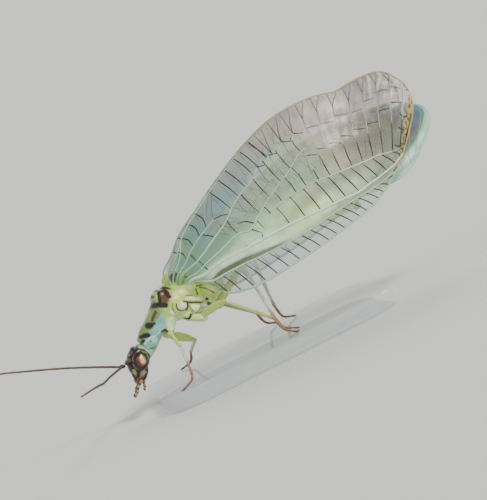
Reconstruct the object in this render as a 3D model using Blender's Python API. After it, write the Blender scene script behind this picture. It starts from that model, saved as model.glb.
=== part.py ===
"""A green lacewing standing on a thin clear plate, life size, with its wings folded like a roof.

Metres, +Z up. The head points along -X and the insect's left side faces -Y. Every body size below is
in millimetres from a datum on the plate's top, under the left forefoot, and is scaled to metres and
centred over the origin at the end.
"""

import math

import bmesh
import bpy
import numpy as np
from mathutils import Matrix

MM = 0.001  # one millimetre in metres
GAP = 0.3  # space kept between neighbouring parts
LEFT, RIGHT = -1.0, 1.0  # sign of Y on each side of the body

# Clear plate under the feet
PLATE_FRONT, PLATE_BACK = -1.6, 10.0
PLATE_HALF_WIDTH = 4.4
PLATE_THICKNESS = 0.8
PLATE_CORNER_RADIUS = 1.6
PLATE_EDGE_BEVEL = 0.12

# Head, measured down its long axis from the crown to the mouth
CROWN = (-1.25, 2.36)  # x and z of the top of the head
HEAD_LEAN_DEG = 26.7  # the mouth lies this far in front of straight down
HEAD_STATIONS = (  # distance from crown, shift to the front, half depth, half width
    (0.00, 0.00, 0.16, 0.24),
    (0.12, -0.03, 0.30, 0.42),
    (0.32, -0.03, 0.40, 0.54),
    (0.68, -0.01, 0.49, 0.60),
    (1.00, -0.02, 0.47, 0.54),
    (1.28, -0.10, 0.38, 0.44),
    (1.54, -0.12, 0.28, 0.34),
    (1.76, -0.11, 0.18, 0.24),
)
EYE_DOWN_HEAD, EYE_FORWARD = 0.68, -0.05
EYE_HALF_HEIGHT, EYE_HALF_DEPTH, EYE_BULGE = 0.43, 0.38, 0.30
EYE_BACK_Y = 0.60
EYE_SOCKET_Y = EYE_BACK_Y - GAP
EYE_SOCKET_RIM = 0.26
SOCKET_DOWN, SOCKET_FORWARD, SOCKET_Y, SOCKET_RADIUS = 0.92, 0.38, 0.22, 0.16
PALP_RADIUS = 0.17
PALPS = (  # root, middle and tip, each as distance from crown, to the front and to the side
    ((1.50, -0.02, 0.18), (1.86, 0.04, 0.26), (2.12, 0.26, 0.30)),
    ((1.50, -0.22, 0.12), (1.84, -0.22, 0.14), (2.08, -0.12, 0.14)),
)

# Antennae: centre lines from just in front of the face to the tips
ANTENNA_RADIUS, ANTENNA_TIP_RADIUS, SCAPE_RADIUS = 0.25, 0.16, 0.28
ANTENNA_LEFT = (
    (-2.46, -0.46, 1.84),
    (-3.02, -1.10, 1.82),
    (-3.50, -2.20, 1.76),
    (-3.90, -4.20, 1.95),
    (-4.42, -6.70, 2.20),
    (-5.05, -9.50, 2.45),
)
ANTENNA_RIGHT = (
    (-2.48, 0.36, 1.84),
    (-3.10, 0.56, 2.10),
    (-4.63, 1.00, 2.75),
    (-7.48, 1.60, 3.82),
    (-9.70, 2.05, 4.45),
    (-12.00, 2.60, 4.95),
)

# Body stations along its middle: x, z, half width, half height
PROTHORAX_STATIONS = (
    (-0.82, 2.35, 0.40, 0.42),
    (-0.72, 2.42, 0.50, 0.50),
    (-0.45, 2.60, 0.56, 0.53),
    (-0.10, 2.83, 0.60, 0.54),
    (0.16, 3.00, 0.62, 0.55),
    (0.25, 3.06, 0.54, 0.48),
)
THORAX_STATIONS = (
    (0.52, 3.20, 0.54, 0.54),
    (0.68, 3.29, 0.78, 0.84),
    (1.00, 3.45, 0.90, 1.00),
    (1.48, 3.60, 0.98, 1.14),
    (2.00, 3.56, 1.00, 1.12),
    (2.60, 3.52, 0.94, 1.02),
    (3.02, 3.54, 0.80, 0.84),
    (3.24, 3.58, 0.58, 0.60),
)
ABDOMEN_START, ABDOMEN_END = (3.56, 3.70), (10.75, 3.98)
ABDOMEN_ARCH = 0.30
ABDOMEN_SEGMENTS = 8
ABDOMEN_HALF_WIDTH, ABDOMEN_HALF_HEIGHT = 0.54, 0.60
ABDOMEN_END_SHARE = 0.84  # how much of its girth is left at the last segment
SEGMENT_GROOVE = 0.05

# Bumps of the thorax: x, y, z and radii. The wings hinge on the side pairs
BACK_BUMPS = ((1.42, 0.40, 4.26, 0.56, 0.50, 0.48), (2.62, 0.34, 4.16, 0.46, 0.42, 0.36))
WING_HINGES = ((2.02, 0.68, 4.05, 0.44, 0.32, 0.40), (2.92, 0.58, 3.90, 0.34, 0.30, 0.34))

# Wings of the left side, by station from root to tip:
# share of length, front edge (x, y, z), hind edge (x, y, z), outward bulge between them
FOREWING = (
    (0.00, (2.75, -1.54, 3.70), (2.15, -1.42, 4.66), 0.00),
    (0.07, (3.30, -1.94, 3.00), (2.08, -1.04, 5.22), 0.22),
    (0.15, (4.07, -2.28, 2.72), (2.69, -0.70, 5.99), 0.42),
    (0.26, (5.30, -2.48, 2.70), (3.85, -0.42, 6.70), 0.46),
    (0.38, (6.75, -2.54, 2.85), (5.32, -0.38, 7.54), 0.44),
    (0.51, (8.35, -2.52, 3.05), (7.17, -0.36, 8.44), 0.45),
    (0.64, (9.80, -2.40, 3.33), (9.14, -0.36, 9.02), 0.45),
    (0.76, (11.10, -2.14, 3.60), (11.20, -0.36, 9.10), 0.42),
    (0.86, (12.10, -1.86, 4.05), (13.00, -0.42, 8.92), 0.46),
    (0.94, (13.10, -1.60, 4.72), (14.30, -0.52, 8.84), 0.46),
    (1.00, (13.70, -1.34, 5.25), (15.00, -0.64, 8.20), 0.40),
)
FOREWING_TIP_BOW = 0.50
FOREWING_VEINS = (0.20, 0.42, 0.72)  # share of the way from front to hind edge
FOREWING_CROSS_VEINS = 13
HINDWING = (
    (0.00, (3.80, -0.96, 3.88), (3.58, -0.88, 4.42), 0.00),
    (0.10, (4.40, -1.04, 4.06), (3.82, -0.70, 4.90), 0.02),
    (0.25, (5.90, -1.20, 4.13), (4.75, -0.46, 5.62), 0.06),
    (0.40, (7.80, -1.32, 4.15), (6.50, -0.40, 6.52), 0.08),
    (0.55, (9.90, -1.30, 4.12), (8.70, -0.38, 7.20), 0.08),
    (0.70, (11.90, -1.00, 4.02), (11.00, -0.36, 7.45), 0.06),
    (0.84, (13.30, -0.70, 4.05), (13.20, -0.36, 7.40), 0.04),
    (0.93, (14.00, -0.58, 4.35), (14.40, -0.36, 7.20), 0.02),
    (1.00, (14.60, -0.50, 4.75), (15.20, -0.36, 6.85), 0.00),
)
HINDWING_TIP_BOW = 0.68
HINDWING_VEINS = (0.26, 0.62)
HINDWING_CROSS_VEINS = 9
WING_THICKNESS, WING_EDGE_THICKNESS = 0.50, 0.34
VEIN_HEIGHT, VEIN_HALF_WIDTH = 0.13, 0.15

# Legs: hip, end of the hip joint, knee, ankle, toe
COXA_RADIUS, FEMUR_RADIUS, KNEE_RADIUS, TIBIA_RADIUS = 0.32, 0.28, 0.25, 0.25
FOOT_RADIUS, TOE_RADIUS = 0.25, 0.22
SOLE_Z = GAP  # the feet end in small flats at this height over the plate
TOE_Z = SOLE_Z + 0.15
LEGS = {
    "fore_left": (
        (0.60, -0.70, 2.22),
        (0.26, -0.92, 2.00),
        (0.27, -2.30, 1.80),
        (0.02, -3.45, 0.86),
        (-0.55, -3.75, TOE_Z),
    ),
    "fore_right": (
        (0.60, 0.70, 2.22),
        (0.26, 0.92, 2.00),
        (1.33, 1.95, 1.66),
        (1.02, 2.75, 0.86),
        (0.45, 3.05, TOE_Z),
    ),
    "mid_left": (
        (1.70, -0.80, 2.22),
        (1.92, -1.08, 2.00),
        (2.73, -2.75, 2.60),
        (4.50, -3.00, 1.00),
        (5.05, -3.20, TOE_Z),
    ),
    "mid_right": (
        (1.70, 0.80, 2.22),
        (1.92, 1.08, 2.00),
        (2.75, 2.40, 2.60),
        (4.60, 2.75, 1.00),
        (5.20, 2.95, TOE_Z),
    ),
    "hind_left": (
        (2.74, -0.74, 2.26),
        (3.07, -0.98, 2.14),
        (4.50, -1.26, 3.50),
        (4.72, -1.84, 1.05),
        (5.30, -2.15, TOE_Z),
    ),
    "hind_right": (
        (2.74, 0.74, 2.26),
        (3.07, 0.98, 2.14),
        (5.45, 1.26, 3.50),
        (5.50, 1.80, 1.00),
        (6.08, 2.10, TOE_Z),
    ),
}

BODY_SIDES = 16
ROUND_SIDES = 8

COLOURS = {  # base colour, roughness, metallic
    "green_cuticle": ((0.42, 0.62, 0.24, 1.0), 0.40, 0.0),
    "blue_green_cuticle": ((0.33, 0.62, 0.48, 1.0), 0.38, 0.0),
    "dark_head": ((0.20, 0.13, 0.07, 1.0), 0.35, 0.0),
    "copper_eye": ((0.45, 0.22, 0.08, 1.0), 0.15, 0.6),
    "wing": ((0.60, 0.76, 0.62, 0.45), 0.20, 0.0),
    "antenna": ((0.10, 0.07, 0.04, 1.0), 0.50, 0.0),
    "leg": ((0.58, 0.68, 0.30, 1.0), 0.40, 0.0),
    "clear_plate": ((0.85, 0.92, 0.92, 0.30), 0.05, 0.0),
}


def clear_scene():
    for obj in list(bpy.data.objects):
        bpy.data.objects.remove(obj)


def material(name):
    found = bpy.data.materials.get(name)
    if found:
        return found
    colour, roughness, metallic = COLOURS[name]
    made = bpy.data.materials.new(name)
    made.use_nodes = True
    shader = made.node_tree.nodes["Principled BSDF"]
    shader.inputs["Base Color"].default_value = colour
    shader.inputs["Roughness"].default_value = roughness
    shader.inputs["Metallic"].default_value = metallic
    shader.inputs["Alpha"].default_value = colour[3]
    return made


def add_object(name, mesh, finish, collection):
    obj = bpy.data.objects.new(name, mesh)
    collection.objects.link(obj)
    mesh.materials.clear()
    mesh.materials.append(material(finish))
    return obj


def mesh_from(points, faces):
    mesh = bpy.data.meshes.new("surface")
    mesh.from_pydata(np.asarray(points, float).tolist(), [], [list(map(int, face)) for face in faces])
    mesh.update()
    return mesh


def face_outward(mesh):
    """Welds points that fall together and turns every face outwards."""
    shape = bmesh.new()
    shape.from_mesh(mesh)
    bmesh.ops.remove_doubles(shape, verts=shape.verts, dist=0.0001)
    bmesh.ops.recalc_face_normals(shape, faces=shape.faces)
    shape.to_mesh(mesh)
    shape.free()
    return mesh


def through(knots, values, wanted):
    """A smooth curve through the values at the knots: cubic pieces with the slopes of the chords around."""
    knots, values = np.asarray(knots, float), np.asarray(values, float)
    slopes = np.gradient(values, knots, axis=0)
    wanted = np.asarray(wanted, float)
    piece = np.clip(np.searchsorted(knots, wanted, side="right") - 1, 0, len(knots) - 2)
    span = (knots[piece + 1] - knots[piece])[:, None]
    part = ((wanted - knots[piece])[:, None]) / span
    start, end = values[piece], values[piece + 1]
    return (
        (2 * part**3 - 3 * part**2 + 1) * start
        + (part**3 - 2 * part**2 + part) * span * slopes[piece]
        + (3 * part**2 - 2 * part**3) * end
        + (part**3 - part**2) * span * slopes[piece + 1]
    )


def closed_loft(centres, side_axis, up_axes, half_widths, half_heights, sides):
    """Oval rings along a line of centres, joined into one closed skin with a point at each end."""
    turn = np.linspace(0, 2 * math.pi, sides, endpoint=False)
    widths, heights = np.asarray(half_widths)[:, None, None], np.asarray(half_heights)[:, None, None]
    across = np.cos(turn)[None, :, None] * widths * np.asarray(side_axis)
    upward = np.sin(turn)[None, :, None] * heights * np.asarray(up_axes)[:, None, :]
    rings = np.asarray(centres)[:, None, :] + across + upward
    count = len(rings)
    points = np.vstack([rings.reshape(-1, 3), centres[0], centres[-1]])
    first, last = count * sides, count * sides + 1
    faces = []
    for ring in range(count - 1):
        for side in range(sides):
            after = (side + 1) % sides
            low, high = ring * sides, (ring + 1) * sides
            faces.append((low + side, low + after, high + after, high + side))
    for side in range(sides):
        after = (side + 1) % sides
        faces.append((first, after, side))
        faces.append((last, (count - 1) * sides + side, (count - 1) * sides + after))
    return face_outward(mesh_from(points, faces))


def body_loft(stations):
    """A loft in the body's middle plane, its rings square to the line through the stations."""
    table = np.asarray(stations, float)
    centres = np.column_stack([table[:, 0], np.zeros(len(table)), table[:, 1]])
    along = np.gradient(centres, axis=0)
    along /= np.linalg.norm(along, axis=1)[:, None]
    up = np.column_stack([-along[:, 2], np.zeros(len(table)), along[:, 0]])
    return closed_loft(centres, (0.0, -1.0, 0.0), up, table[:, 2], table[:, 3], BODY_SIDES)


def ellipsoid(name, centre, radii, segments, rings, collection):
    mesh = bpy.data.meshes.new(name)
    shape = bmesh.new()
    bmesh.ops.create_uvsphere(shape, u_segments=segments, v_segments=rings, radius=1.0)
    bmesh.ops.scale(shape, vec=radii, verts=shape.verts)
    bmesh.ops.translate(shape, vec=centre, verts=shape.verts)
    shape.to_mesh(mesh)
    shape.free()
    return add_object(name, mesh, "green_cuticle", collection)


def cut_level(shape, place, outward):
    """Takes off what lies beyond a plane and closes the shape with a flat face."""
    whole = [*shape.verts, *shape.edges, *shape.faces]
    bmesh.ops.bisect_plane(shape, geom=whole, plane_co=place, plane_no=outward, clear_outer=True)
    bmesh.ops.holes_fill(shape, edges=shape.edges, sides=0)
    bmesh.ops.recalc_face_normals(shape, faces=shape.faces)


def tube(name, points, radii, finish, collection):
    """A round rod along the points, with its own radius at each, as a closed mesh."""
    curve = bpy.data.curves.new(name, "CURVE")
    curve.dimensions = "3D"
    curve.bevel_depth = 1.0
    curve.bevel_resolution = (ROUND_SIDES - 4) // 2
    curve.use_fill_caps = True
    spline = curve.splines.new("POLY")
    spline.points.add(len(points) - 1)
    for knot, place, radius in zip(spline.points, points, radii):
        knot.co = (*map(float, place), 1.0)
        knot.radius = float(radius)
    guide = bpy.data.objects.new(name + "_line", curve)
    collection.objects.link(guide)
    bpy.context.view_layer.update()
    mesh = bpy.data.meshes.new_from_object(guide.evaluated_get(bpy.context.evaluated_depsgraph_get()))
    face_outward(mesh)
    made = add_object(name, mesh, finish, collection)
    made.matrix_world = guide.matrix_world
    bpy.data.objects.remove(guide)
    return made


def apply_modifiers(obj):
    bpy.context.view_layer.update()
    graph = bpy.context.evaluated_depsgraph_get()
    finished = bpy.data.meshes.new_from_object(obj.evaluated_get(graph))
    obj.modifiers.clear()
    obj.data = finished


def keep_largest_surface(obj):
    """Drops loose scraps and the walls of sealed hollows, which a union can leave."""
    shape = bmesh.new()
    shape.from_mesh(obj.data)
    left, surfaces = set(shape.verts), []
    while left:
        found, edge = set(), [left.pop()]
        while edge:
            vertex = edge.pop()
            found.add(vertex)
            near = {link.other_vert(vertex) for link in vertex.link_edges} & left
            left -= near
            edge.extend(near)
        surfaces.append(found)
    largest = max(surfaces, key=len)
    bmesh.ops.delete(shape, geom=[vertex for vertex in shape.verts if vertex not in largest], context="VERTS")
    shape.to_mesh(obj.data)
    shape.free()


def combine(base, pieces, operation):
    """Joins the pieces to the base, or takes them out of it, in one Boolean."""
    group = bpy.data.collections.new(base.name + "_pieces")
    bpy.context.scene.collection.children.link(group)
    for piece in pieces:
        for home in list(piece.users_collection):
            home.objects.unlink(piece)
        group.objects.link(piece)
    step = base.modifiers.new("step", "BOOLEAN")
    step.operation = operation
    step.operand_type = "COLLECTION"
    step.collection = group
    step.solver = "EXACT"
    apply_modifiers(base)
    for piece in pieces:
        bpy.data.objects.remove(piece)
    bpy.data.collections.remove(group)
    keep_largest_surface(base)


def head_point(down, forward, across=0.0):
    """A point of the head from its distance below the crown, in front of its axis and to the right."""
    lean = math.radians(HEAD_LEAN_DEG)
    x = CROWN[0] - down * math.sin(lean) - forward * math.cos(lean)
    z = CROWN[1] - down * math.cos(lean) + forward * math.sin(lean)
    return np.array((x, across, z))


def eye_socket(side, collection):
    """A block with an oval outline, over an eye's place and out past the head's side."""
    mesh = bpy.data.meshes.new("socket")
    shape = bmesh.new()
    bmesh.ops.create_cone(shape, cap_ends=True, segments=BODY_SIDES, radius1=1.0, radius2=1.0, depth=1.0)
    radii = (EYE_HALF_DEPTH + EYE_SOCKET_RIM, EYE_HALF_HEIGHT + EYE_SOCKET_RIM, 1.0)
    bmesh.ops.scale(shape, vec=radii, verts=shape.verts)
    centre = head_point(EYE_DOWN_HEAD, EYE_FORWARD, side * (EYE_SOCKET_Y + 0.5))
    lean = Matrix.Rotation(math.radians(HEAD_LEAN_DEG), 4, "Y")
    shape.transform(Matrix.Translation(centre) @ lean @ Matrix.Rotation(math.radians(90.0), 4, "X"))
    shape.to_mesh(mesh)
    shape.free()
    return add_object("eye_socket", mesh, "copper_eye", collection)


def make_head(parts):
    table = np.asarray(HEAD_STATIONS, float)
    centres = np.array([head_point(down, forward) for down, forward in table[:, :2]])
    front = head_point(0.0, 1.0) - head_point(0.0, 0.0)
    up = np.repeat(front[None, :], len(table), axis=0)
    skull = closed_loft(centres, (0.0, -1.0, 0.0), up, table[:, 3], table[:, 2], BODY_SIDES)
    head = add_object("head", skull, "dark_head", parts)
    palp_radii = (PALP_RADIUS, PALP_RADIUS, 0.7 * PALP_RADIUS)
    pieces = []
    for side in (LEFT, RIGHT):
        socket = head_point(SOCKET_DOWN, SOCKET_FORWARD, side * SOCKET_Y)
        pieces.append(ellipsoid("socket", socket, (SOCKET_RADIUS,) * 3, 8, 6, parts))
        for knots in PALPS:
            points = [head_point(down, forward, side * across) for down, forward, across in knots]
            pieces.append(tube("palp", points, palp_radii, "dark_head", parts))
    combine(head, pieces, "UNION")
    combine(head, [eye_socket(side, parts) for side in (LEFT, RIGHT)], "DIFFERENCE")


def make_eye(side, name, parts):
    """The outer half of an ellipsoid, flat behind, standing in its socket."""
    centre = head_point(EYE_DOWN_HEAD, EYE_FORWARD, side * EYE_BACK_Y)
    mesh = bpy.data.meshes.new(name)
    shape = bmesh.new()
    bmesh.ops.create_uvsphere(shape, u_segments=BODY_SIDES, v_segments=10, radius=1.0)
    bmesh.ops.rotate(shape, matrix=Matrix.Rotation(math.radians(90.0), 3, "X"), verts=shape.verts)
    bmesh.ops.scale(shape, vec=(EYE_HALF_DEPTH, EYE_BULGE, EYE_HALF_HEIGHT), verts=shape.verts)
    cut_level(shape, (0.0, 0.0, 0.0), (0.0, -side, 0.0))
    shape.transform(Matrix.Translation(centre) @ Matrix.Rotation(math.radians(HEAD_LEAN_DEG), 4, "Y"))
    shape.to_mesh(mesh)
    shape.free()
    return add_object(name, mesh, "copper_eye", parts)


def make_antenna(name, knots, parts):
    """A thicker first joint, then a long whip that thins to its tip."""
    count = 14
    lengths = np.r_[0, np.cumsum(np.linalg.norm(np.diff(knots, axis=0), axis=1))]
    wanted = np.r_[0.0, 0.45, 0.62, np.linspace(1.2, lengths[-1], count)]
    points = through(lengths, knots, wanted)
    share = wanted / lengths[-1]
    radii = ANTENNA_RADIUS + (ANTENNA_TIP_RADIUS - ANTENNA_RADIUS) * np.clip((share - 0.7) / 0.3, 0, 1)
    radii[:2] = SCAPE_RADIUS
    return tube(name, points, radii, "antenna", parts)


def make_thorax(parts):
    thorax = add_object("thorax", body_loft(THORAX_STATIONS), "green_cuticle", parts)
    bumps = [
        ellipsoid("bump", (x, side * y, z), radii, 12, 8, parts)
        for side in (LEFT, RIGHT)
        for x, y, z, *radii in (*BACK_BUMPS, *WING_HINGES)
    ]
    combine(thorax, bumps, "UNION")


def abdomen_stations():
    """Eight rings of a slowly thinning body, each swelling between two grooves."""
    stations = []
    steps = 3 * ABDOMEN_SEGMENTS
    for step in range(steps + 1):
        share = step / steps
        x = ABDOMEN_START[0] + share * (ABDOMEN_END[0] - ABDOMEN_START[0])
        z = ABDOMEN_START[1] + share * (ABDOMEN_END[1] - ABDOMEN_START[1])
        z += ABDOMEN_ARCH * math.sin(math.pi * share)
        girth = 1 - (1 - ABDOMEN_END_SHARE) * share**2
        girth *= 1 - 0.28 * max(0.0, 1 - 8 * share) - 0.40 * max(0.0, 12 * share - 11)
        groove = SEGMENT_GROOVE if step % 3 == 0 and 0 < step < steps else 0.0
        stations.append((x, z, ABDOMEN_HALF_WIDTH * girth - groove, ABDOMEN_HALF_HEIGHT * girth - groove))
    return stations


def vein_lines(places, half_width, ends):
    """Grid lines over 0 to 1, a crest and two flanks for each vein, and which of the lines are crests."""
    lines = [(0.0, ends), (half_width, False)]
    for place in places:
        lines += [(place - half_width, False), (place, True), (place + half_width, False)]
    lines += [(1.0 - half_width, False), (1.0, ends)]
    return np.array([line[0] for line in lines]), np.array([line[1] for line in lines])


def wing_surface(table, tip_bow, shares, across):
    """The wing's middle surface as a grid between its edges, bulging between them and bowed at the tip."""
    knots = [row[0] for row in table]
    edges = through(knots, [(*row[1], *row[2], row[3]) for row in table], shares)
    front, hind, bulge = edges[:, None, :3], edges[:, None, 3:6], edges[:, 6]
    part = across[None, :, None]
    points = front + (hind - front) * part
    arch = np.sin(math.pi * across)
    points[:, :, 1] -= bulge[:, None] * arch[None, :]
    bow = tip_bow * shares[:, None] ** 5 * np.sin(math.pi * across**1.15)[None, :]
    points[:, :, 0] += bow
    points[:, :, 2] += 0.12 * bow
    return points


def make_wing(name, table, tip_bow, veins, cross_veins, side, parts):
    """A membrane of even thickness, thinner round its edge, with its veins raised on the outer face."""
    length = table[-1][2][0] - table[0][2][0]
    width = table[len(table) // 2][2][2] - table[len(table) // 2][1][2]
    across, crest_across = vein_lines(veins, VEIN_HALF_WIDTH / width, True)
    places = (np.arange(cross_veins) + 0.8) / (cross_veins + 0.3)
    shares, crest_along = vein_lines(places, VEIN_HALF_WIDTH / length, False)
    points = wing_surface(table, tip_bow, shares, across)
    along_step = np.gradient(points, axis=0)
    across_step = np.gradient(points, axis=1)
    normal = np.cross(along_step, across_step)
    normal /= np.linalg.norm(normal, axis=2)[:, :, None]
    normal *= np.sign(-normal[:, :, 1:2])
    raised = np.where(crest_along[:, None] | crest_across[None, :], VEIN_HEIGHT, 0.0)
    edge_across = np.minimum(across, 1 - across) * width
    edge_along = (1 - shares) * length
    from_edge = np.minimum(edge_along[:, None], edge_across[None, :])
    inward = np.clip(from_edge / WING_THICKNESS, 0, 1)
    half = 0.5 * (WING_EDGE_THICKNESS + (WING_THICKNESS - WING_EDGE_THICKNESS) * inward)
    outer = points + normal * (half + raised)[:, :, None]
    inner = points - normal * half[:, :, None]
    rows, columns = len(shares), len(across)
    grid = np.arange(rows * columns).reshape(rows, columns)
    a, b = grid[:-1, :-1].ravel(), grid[1:, :-1].ravel()
    c, d = grid[1:, 1:].ravel(), grid[:-1, 1:].ravel()
    top = np.concatenate([np.column_stack([a, d, c]), np.column_stack([a, c, b])])
    under = top[:, ::-1] + rows * columns
    rim = np.concatenate([grid[:, 0], grid[-1, 1:], grid[-2::-1, -1], grid[0, -2:0:-1]])
    after = np.roll(rim, -1)
    below = rim + rows * columns
    below_after = after + rows * columns
    wall = np.column_stack([rim, after, below_after, rim, below_after, below]).reshape(-1, 3)
    cloud = np.vstack([outer.reshape(-1, 3), inner.reshape(-1, 3)])
    cloud[:, 1] *= -side
    mesh = face_outward(mesh_from(cloud, np.concatenate([top, under, wall])))
    return add_object(name, mesh, "wing", parts)


def between(start, end, distance):
    """The point this far from start towards end."""
    start, end = np.asarray(start, float), np.asarray(end, float)
    return start + (end - start) * distance / np.linalg.norm(end - start)


def make_leg(name, joints, parts):
    """Two nodes: hip joint, thigh and top of the shin, then the rest of the shin and the foot.

    The shin is parted as far below the knee as the lower piece needs to stand clear of the thigh.
    """
    hip, hip_end, knee, ankle, toe = (np.array(joint, float) for joint in joints)
    upper = tube(
        f"leg_{name}_upper",
        (hip_end, (hip_end + knee) / 2, knee),
        (KNEE_RADIUS, FEMUR_RADIUS, KNEE_RADIUS),
        "leg",
        parts,
    )
    fold = (between(knee, hip_end, 1.0) - knee) @ (between(knee, ankle, 1.0) - knee)
    clear_of_thigh = (FEMUR_RADIUS + TIBIA_RADIUS + GAP) / math.sqrt(2 * (1 - fold))
    parting = max(clear_of_thigh, 1.2 * KNEE_RADIUS + GAP)
    coxa = tube("coxa", (hip, between(hip_end, hip, -0.12)), (COXA_RADIUS, COXA_RADIUS), "leg", parts)
    ball = ellipsoid("knee", knee, (1.04 * KNEE_RADIUS,) * 3, 12, 8, parts)
    shin_end = between(knee, ankle, parting - GAP)
    shin_top = tube("shin", (knee, shin_end), (KNEE_RADIUS, TIBIA_RADIUS), "leg", parts)
    combine(upper, [coxa, ball, shin_top], "UNION")
    lower = tube(
        f"leg_{name}_lower",
        (between(knee, ankle, parting), between(ankle, knee, 0.3), ankle, between(ankle, toe, 0.25), toe),
        (TIBIA_RADIUS, TIBIA_RADIUS, TIBIA_RADIUS, FOOT_RADIUS, TOE_RADIUS),
        "leg",
        parts,
    )
    shape = bmesh.new()
    shape.from_mesh(lower.data)
    cut_level(shape, (0.0, 0.0, SOLE_Z), (0.0, 0.0, -1.0))
    shape.to_mesh(lower.data)
    shape.free()


def make_plate(parts):
    """A flat plate with round corners and softened edges."""
    outline = bpy.data.curves.new("stand_base", "CURVE")
    outline.dimensions = "2D"
    outline.fill_mode = "BOTH"
    outline.extrude = PLATE_THICKNESS / 2 - PLATE_EDGE_BEVEL
    outline.bevel_depth = PLATE_EDGE_BEVEL
    outline.bevel_resolution = 1
    reach = PLATE_CORNER_RADIUS
    low_x, high_x = PLATE_FRONT + PLATE_EDGE_BEVEL, PLATE_BACK - PLATE_EDGE_BEVEL
    half_y = PLATE_HALF_WIDTH - PLATE_EDGE_BEVEL
    corners = (
        (high_x, half_y, 0.0),
        (low_x, half_y, 90.0),
        (low_x, -half_y, 180.0),
        (high_x, -half_y, 270.0),
    )
    points = []
    for x, y, start in corners:
        centre = (x - math.copysign(reach, x - low_x - 1.0), y - math.copysign(reach, y))
        for step in range(6):
            angle = math.radians(start + 18.0 * step)
            points.append((centre[0] + reach * math.cos(angle), centre[1] + reach * math.sin(angle)))
    spline = outline.splines.new("POLY")
    spline.points.add(len(points) - 1)
    for knot, (x, y) in zip(spline.points, points):
        knot.co = (x, y, 0.0, 1.0)
    spline.use_cyclic_u = True
    guide = bpy.data.objects.new("plate_line", outline)
    parts.objects.link(guide)
    guide.location = (0.0, 0.0, -PLATE_THICKNESS / 2)
    bpy.context.view_layer.update()
    mesh = bpy.data.meshes.new_from_object(guide.evaluated_get(bpy.context.evaluated_depsgraph_get()))
    mesh.transform(guide.matrix_world)
    face_outward(mesh)
    bpy.data.objects.remove(guide)
    return add_object("stand_base", mesh, "clear_plate", parts)


def settle_over_origin(parts):
    """Turns the millimetres into metres and centres the whole on the origin, standing at z = 0."""
    corners = []
    for obj in parts.objects:
        corners += [np.array(vertex.co) for vertex in obj.data.vertices]
    low, high = np.min(corners, axis=0), np.max(corners, axis=0)
    shift = -np.array(((low[0] + high[0]) / 2, (low[1] + high[1]) / 2, low[2]))
    for obj in parts.objects:
        obj.data.transform(Matrix.Scale(MM, 4) @ Matrix.Translation(shift))
    print("shift in millimetres", [round(float(value), 4) for value in shift])


def main():
    clear_scene()
    parts = bpy.data.collections.new("lacewing")
    bpy.context.scene.collection.children.link(parts)
    make_head(parts)
    make_eye(LEFT, "eye_left", parts)
    make_eye(RIGHT, "eye_right", parts)
    make_antenna("antenna_left", ANTENNA_LEFT, parts)
    make_antenna("antenna_right", ANTENNA_RIGHT, parts)
    add_object("prothorax", body_loft(PROTHORAX_STATIONS), "blue_green_cuticle", parts)
    make_thorax(parts)
    add_object("abdomen", body_loft(abdomen_stations()), "green_cuticle", parts)
    forewing = (FOREWING, FOREWING_TIP_BOW, FOREWING_VEINS, FOREWING_CROSS_VEINS)
    hindwing = (HINDWING, HINDWING_TIP_BOW, HINDWING_VEINS, HINDWING_CROSS_VEINS)
    for word, side in (("left", LEFT), ("right", RIGHT)):
        make_wing("forewing_" + word, *forewing, side, parts)
        make_wing("hindwing_" + word, *hindwing, side, parts)
    for name, joints in LEGS.items():
        make_leg(name, joints, parts)
    make_plate(parts)
    settle_over_origin(parts)


main()
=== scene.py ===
"""The looks of a green lacewing on a clear plate: skin, eyes, feelers, veined wings, legs and hairs.

Sizes are in millimetres from a datum on the plate's top and become metres when a piece is made.
The head points along -X and the insect's left side faces -Y.
"""

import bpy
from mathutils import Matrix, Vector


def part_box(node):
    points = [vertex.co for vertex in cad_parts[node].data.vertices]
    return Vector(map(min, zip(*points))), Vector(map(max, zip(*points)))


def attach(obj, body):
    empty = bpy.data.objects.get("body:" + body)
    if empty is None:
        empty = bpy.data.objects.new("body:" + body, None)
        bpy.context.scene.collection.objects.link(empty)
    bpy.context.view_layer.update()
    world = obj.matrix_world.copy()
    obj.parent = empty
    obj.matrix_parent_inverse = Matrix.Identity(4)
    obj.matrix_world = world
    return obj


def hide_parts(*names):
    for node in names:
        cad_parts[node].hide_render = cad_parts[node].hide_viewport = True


bl_info = {
    "name": "Green Lacewing",
    "version": (1, 0, 0),
    "blender": (4, 5, 0),
    "location": "View3D > Sidebar > Lacewing",
    "description": "Builds the surfaces and finishes of a life-size green lacewing",
    "category": "Add Mesh",
}

import math

import bmesh
import bpy
import numpy as np
from bpy.props import FloatProperty, FloatVectorProperty, IntProperty, PointerProperty
from mathutils import Matrix, Vector

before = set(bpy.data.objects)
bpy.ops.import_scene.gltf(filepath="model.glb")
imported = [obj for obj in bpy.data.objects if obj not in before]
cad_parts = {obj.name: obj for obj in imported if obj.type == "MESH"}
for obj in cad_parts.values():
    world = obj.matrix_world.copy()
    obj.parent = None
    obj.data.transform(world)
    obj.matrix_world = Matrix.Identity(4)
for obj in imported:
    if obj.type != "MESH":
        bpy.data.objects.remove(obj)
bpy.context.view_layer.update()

MM = 0.001
PLATE_FRONT = -1.6  # x of the plate's front edge from the datum
PLATE_LOW, PLATE_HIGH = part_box("stand_base")
DATUM = np.array((PLATE_LOW.x - PLATE_FRONT * MM, (PLATE_LOW.y + PLATE_HIGH.y) / 2, PLATE_HIGH.z))
LEFT, RIGHT = -1.0, 1.0
SEED = 11
VOXEL = 0.034
HEAD_VOXEL = 0.022

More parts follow.
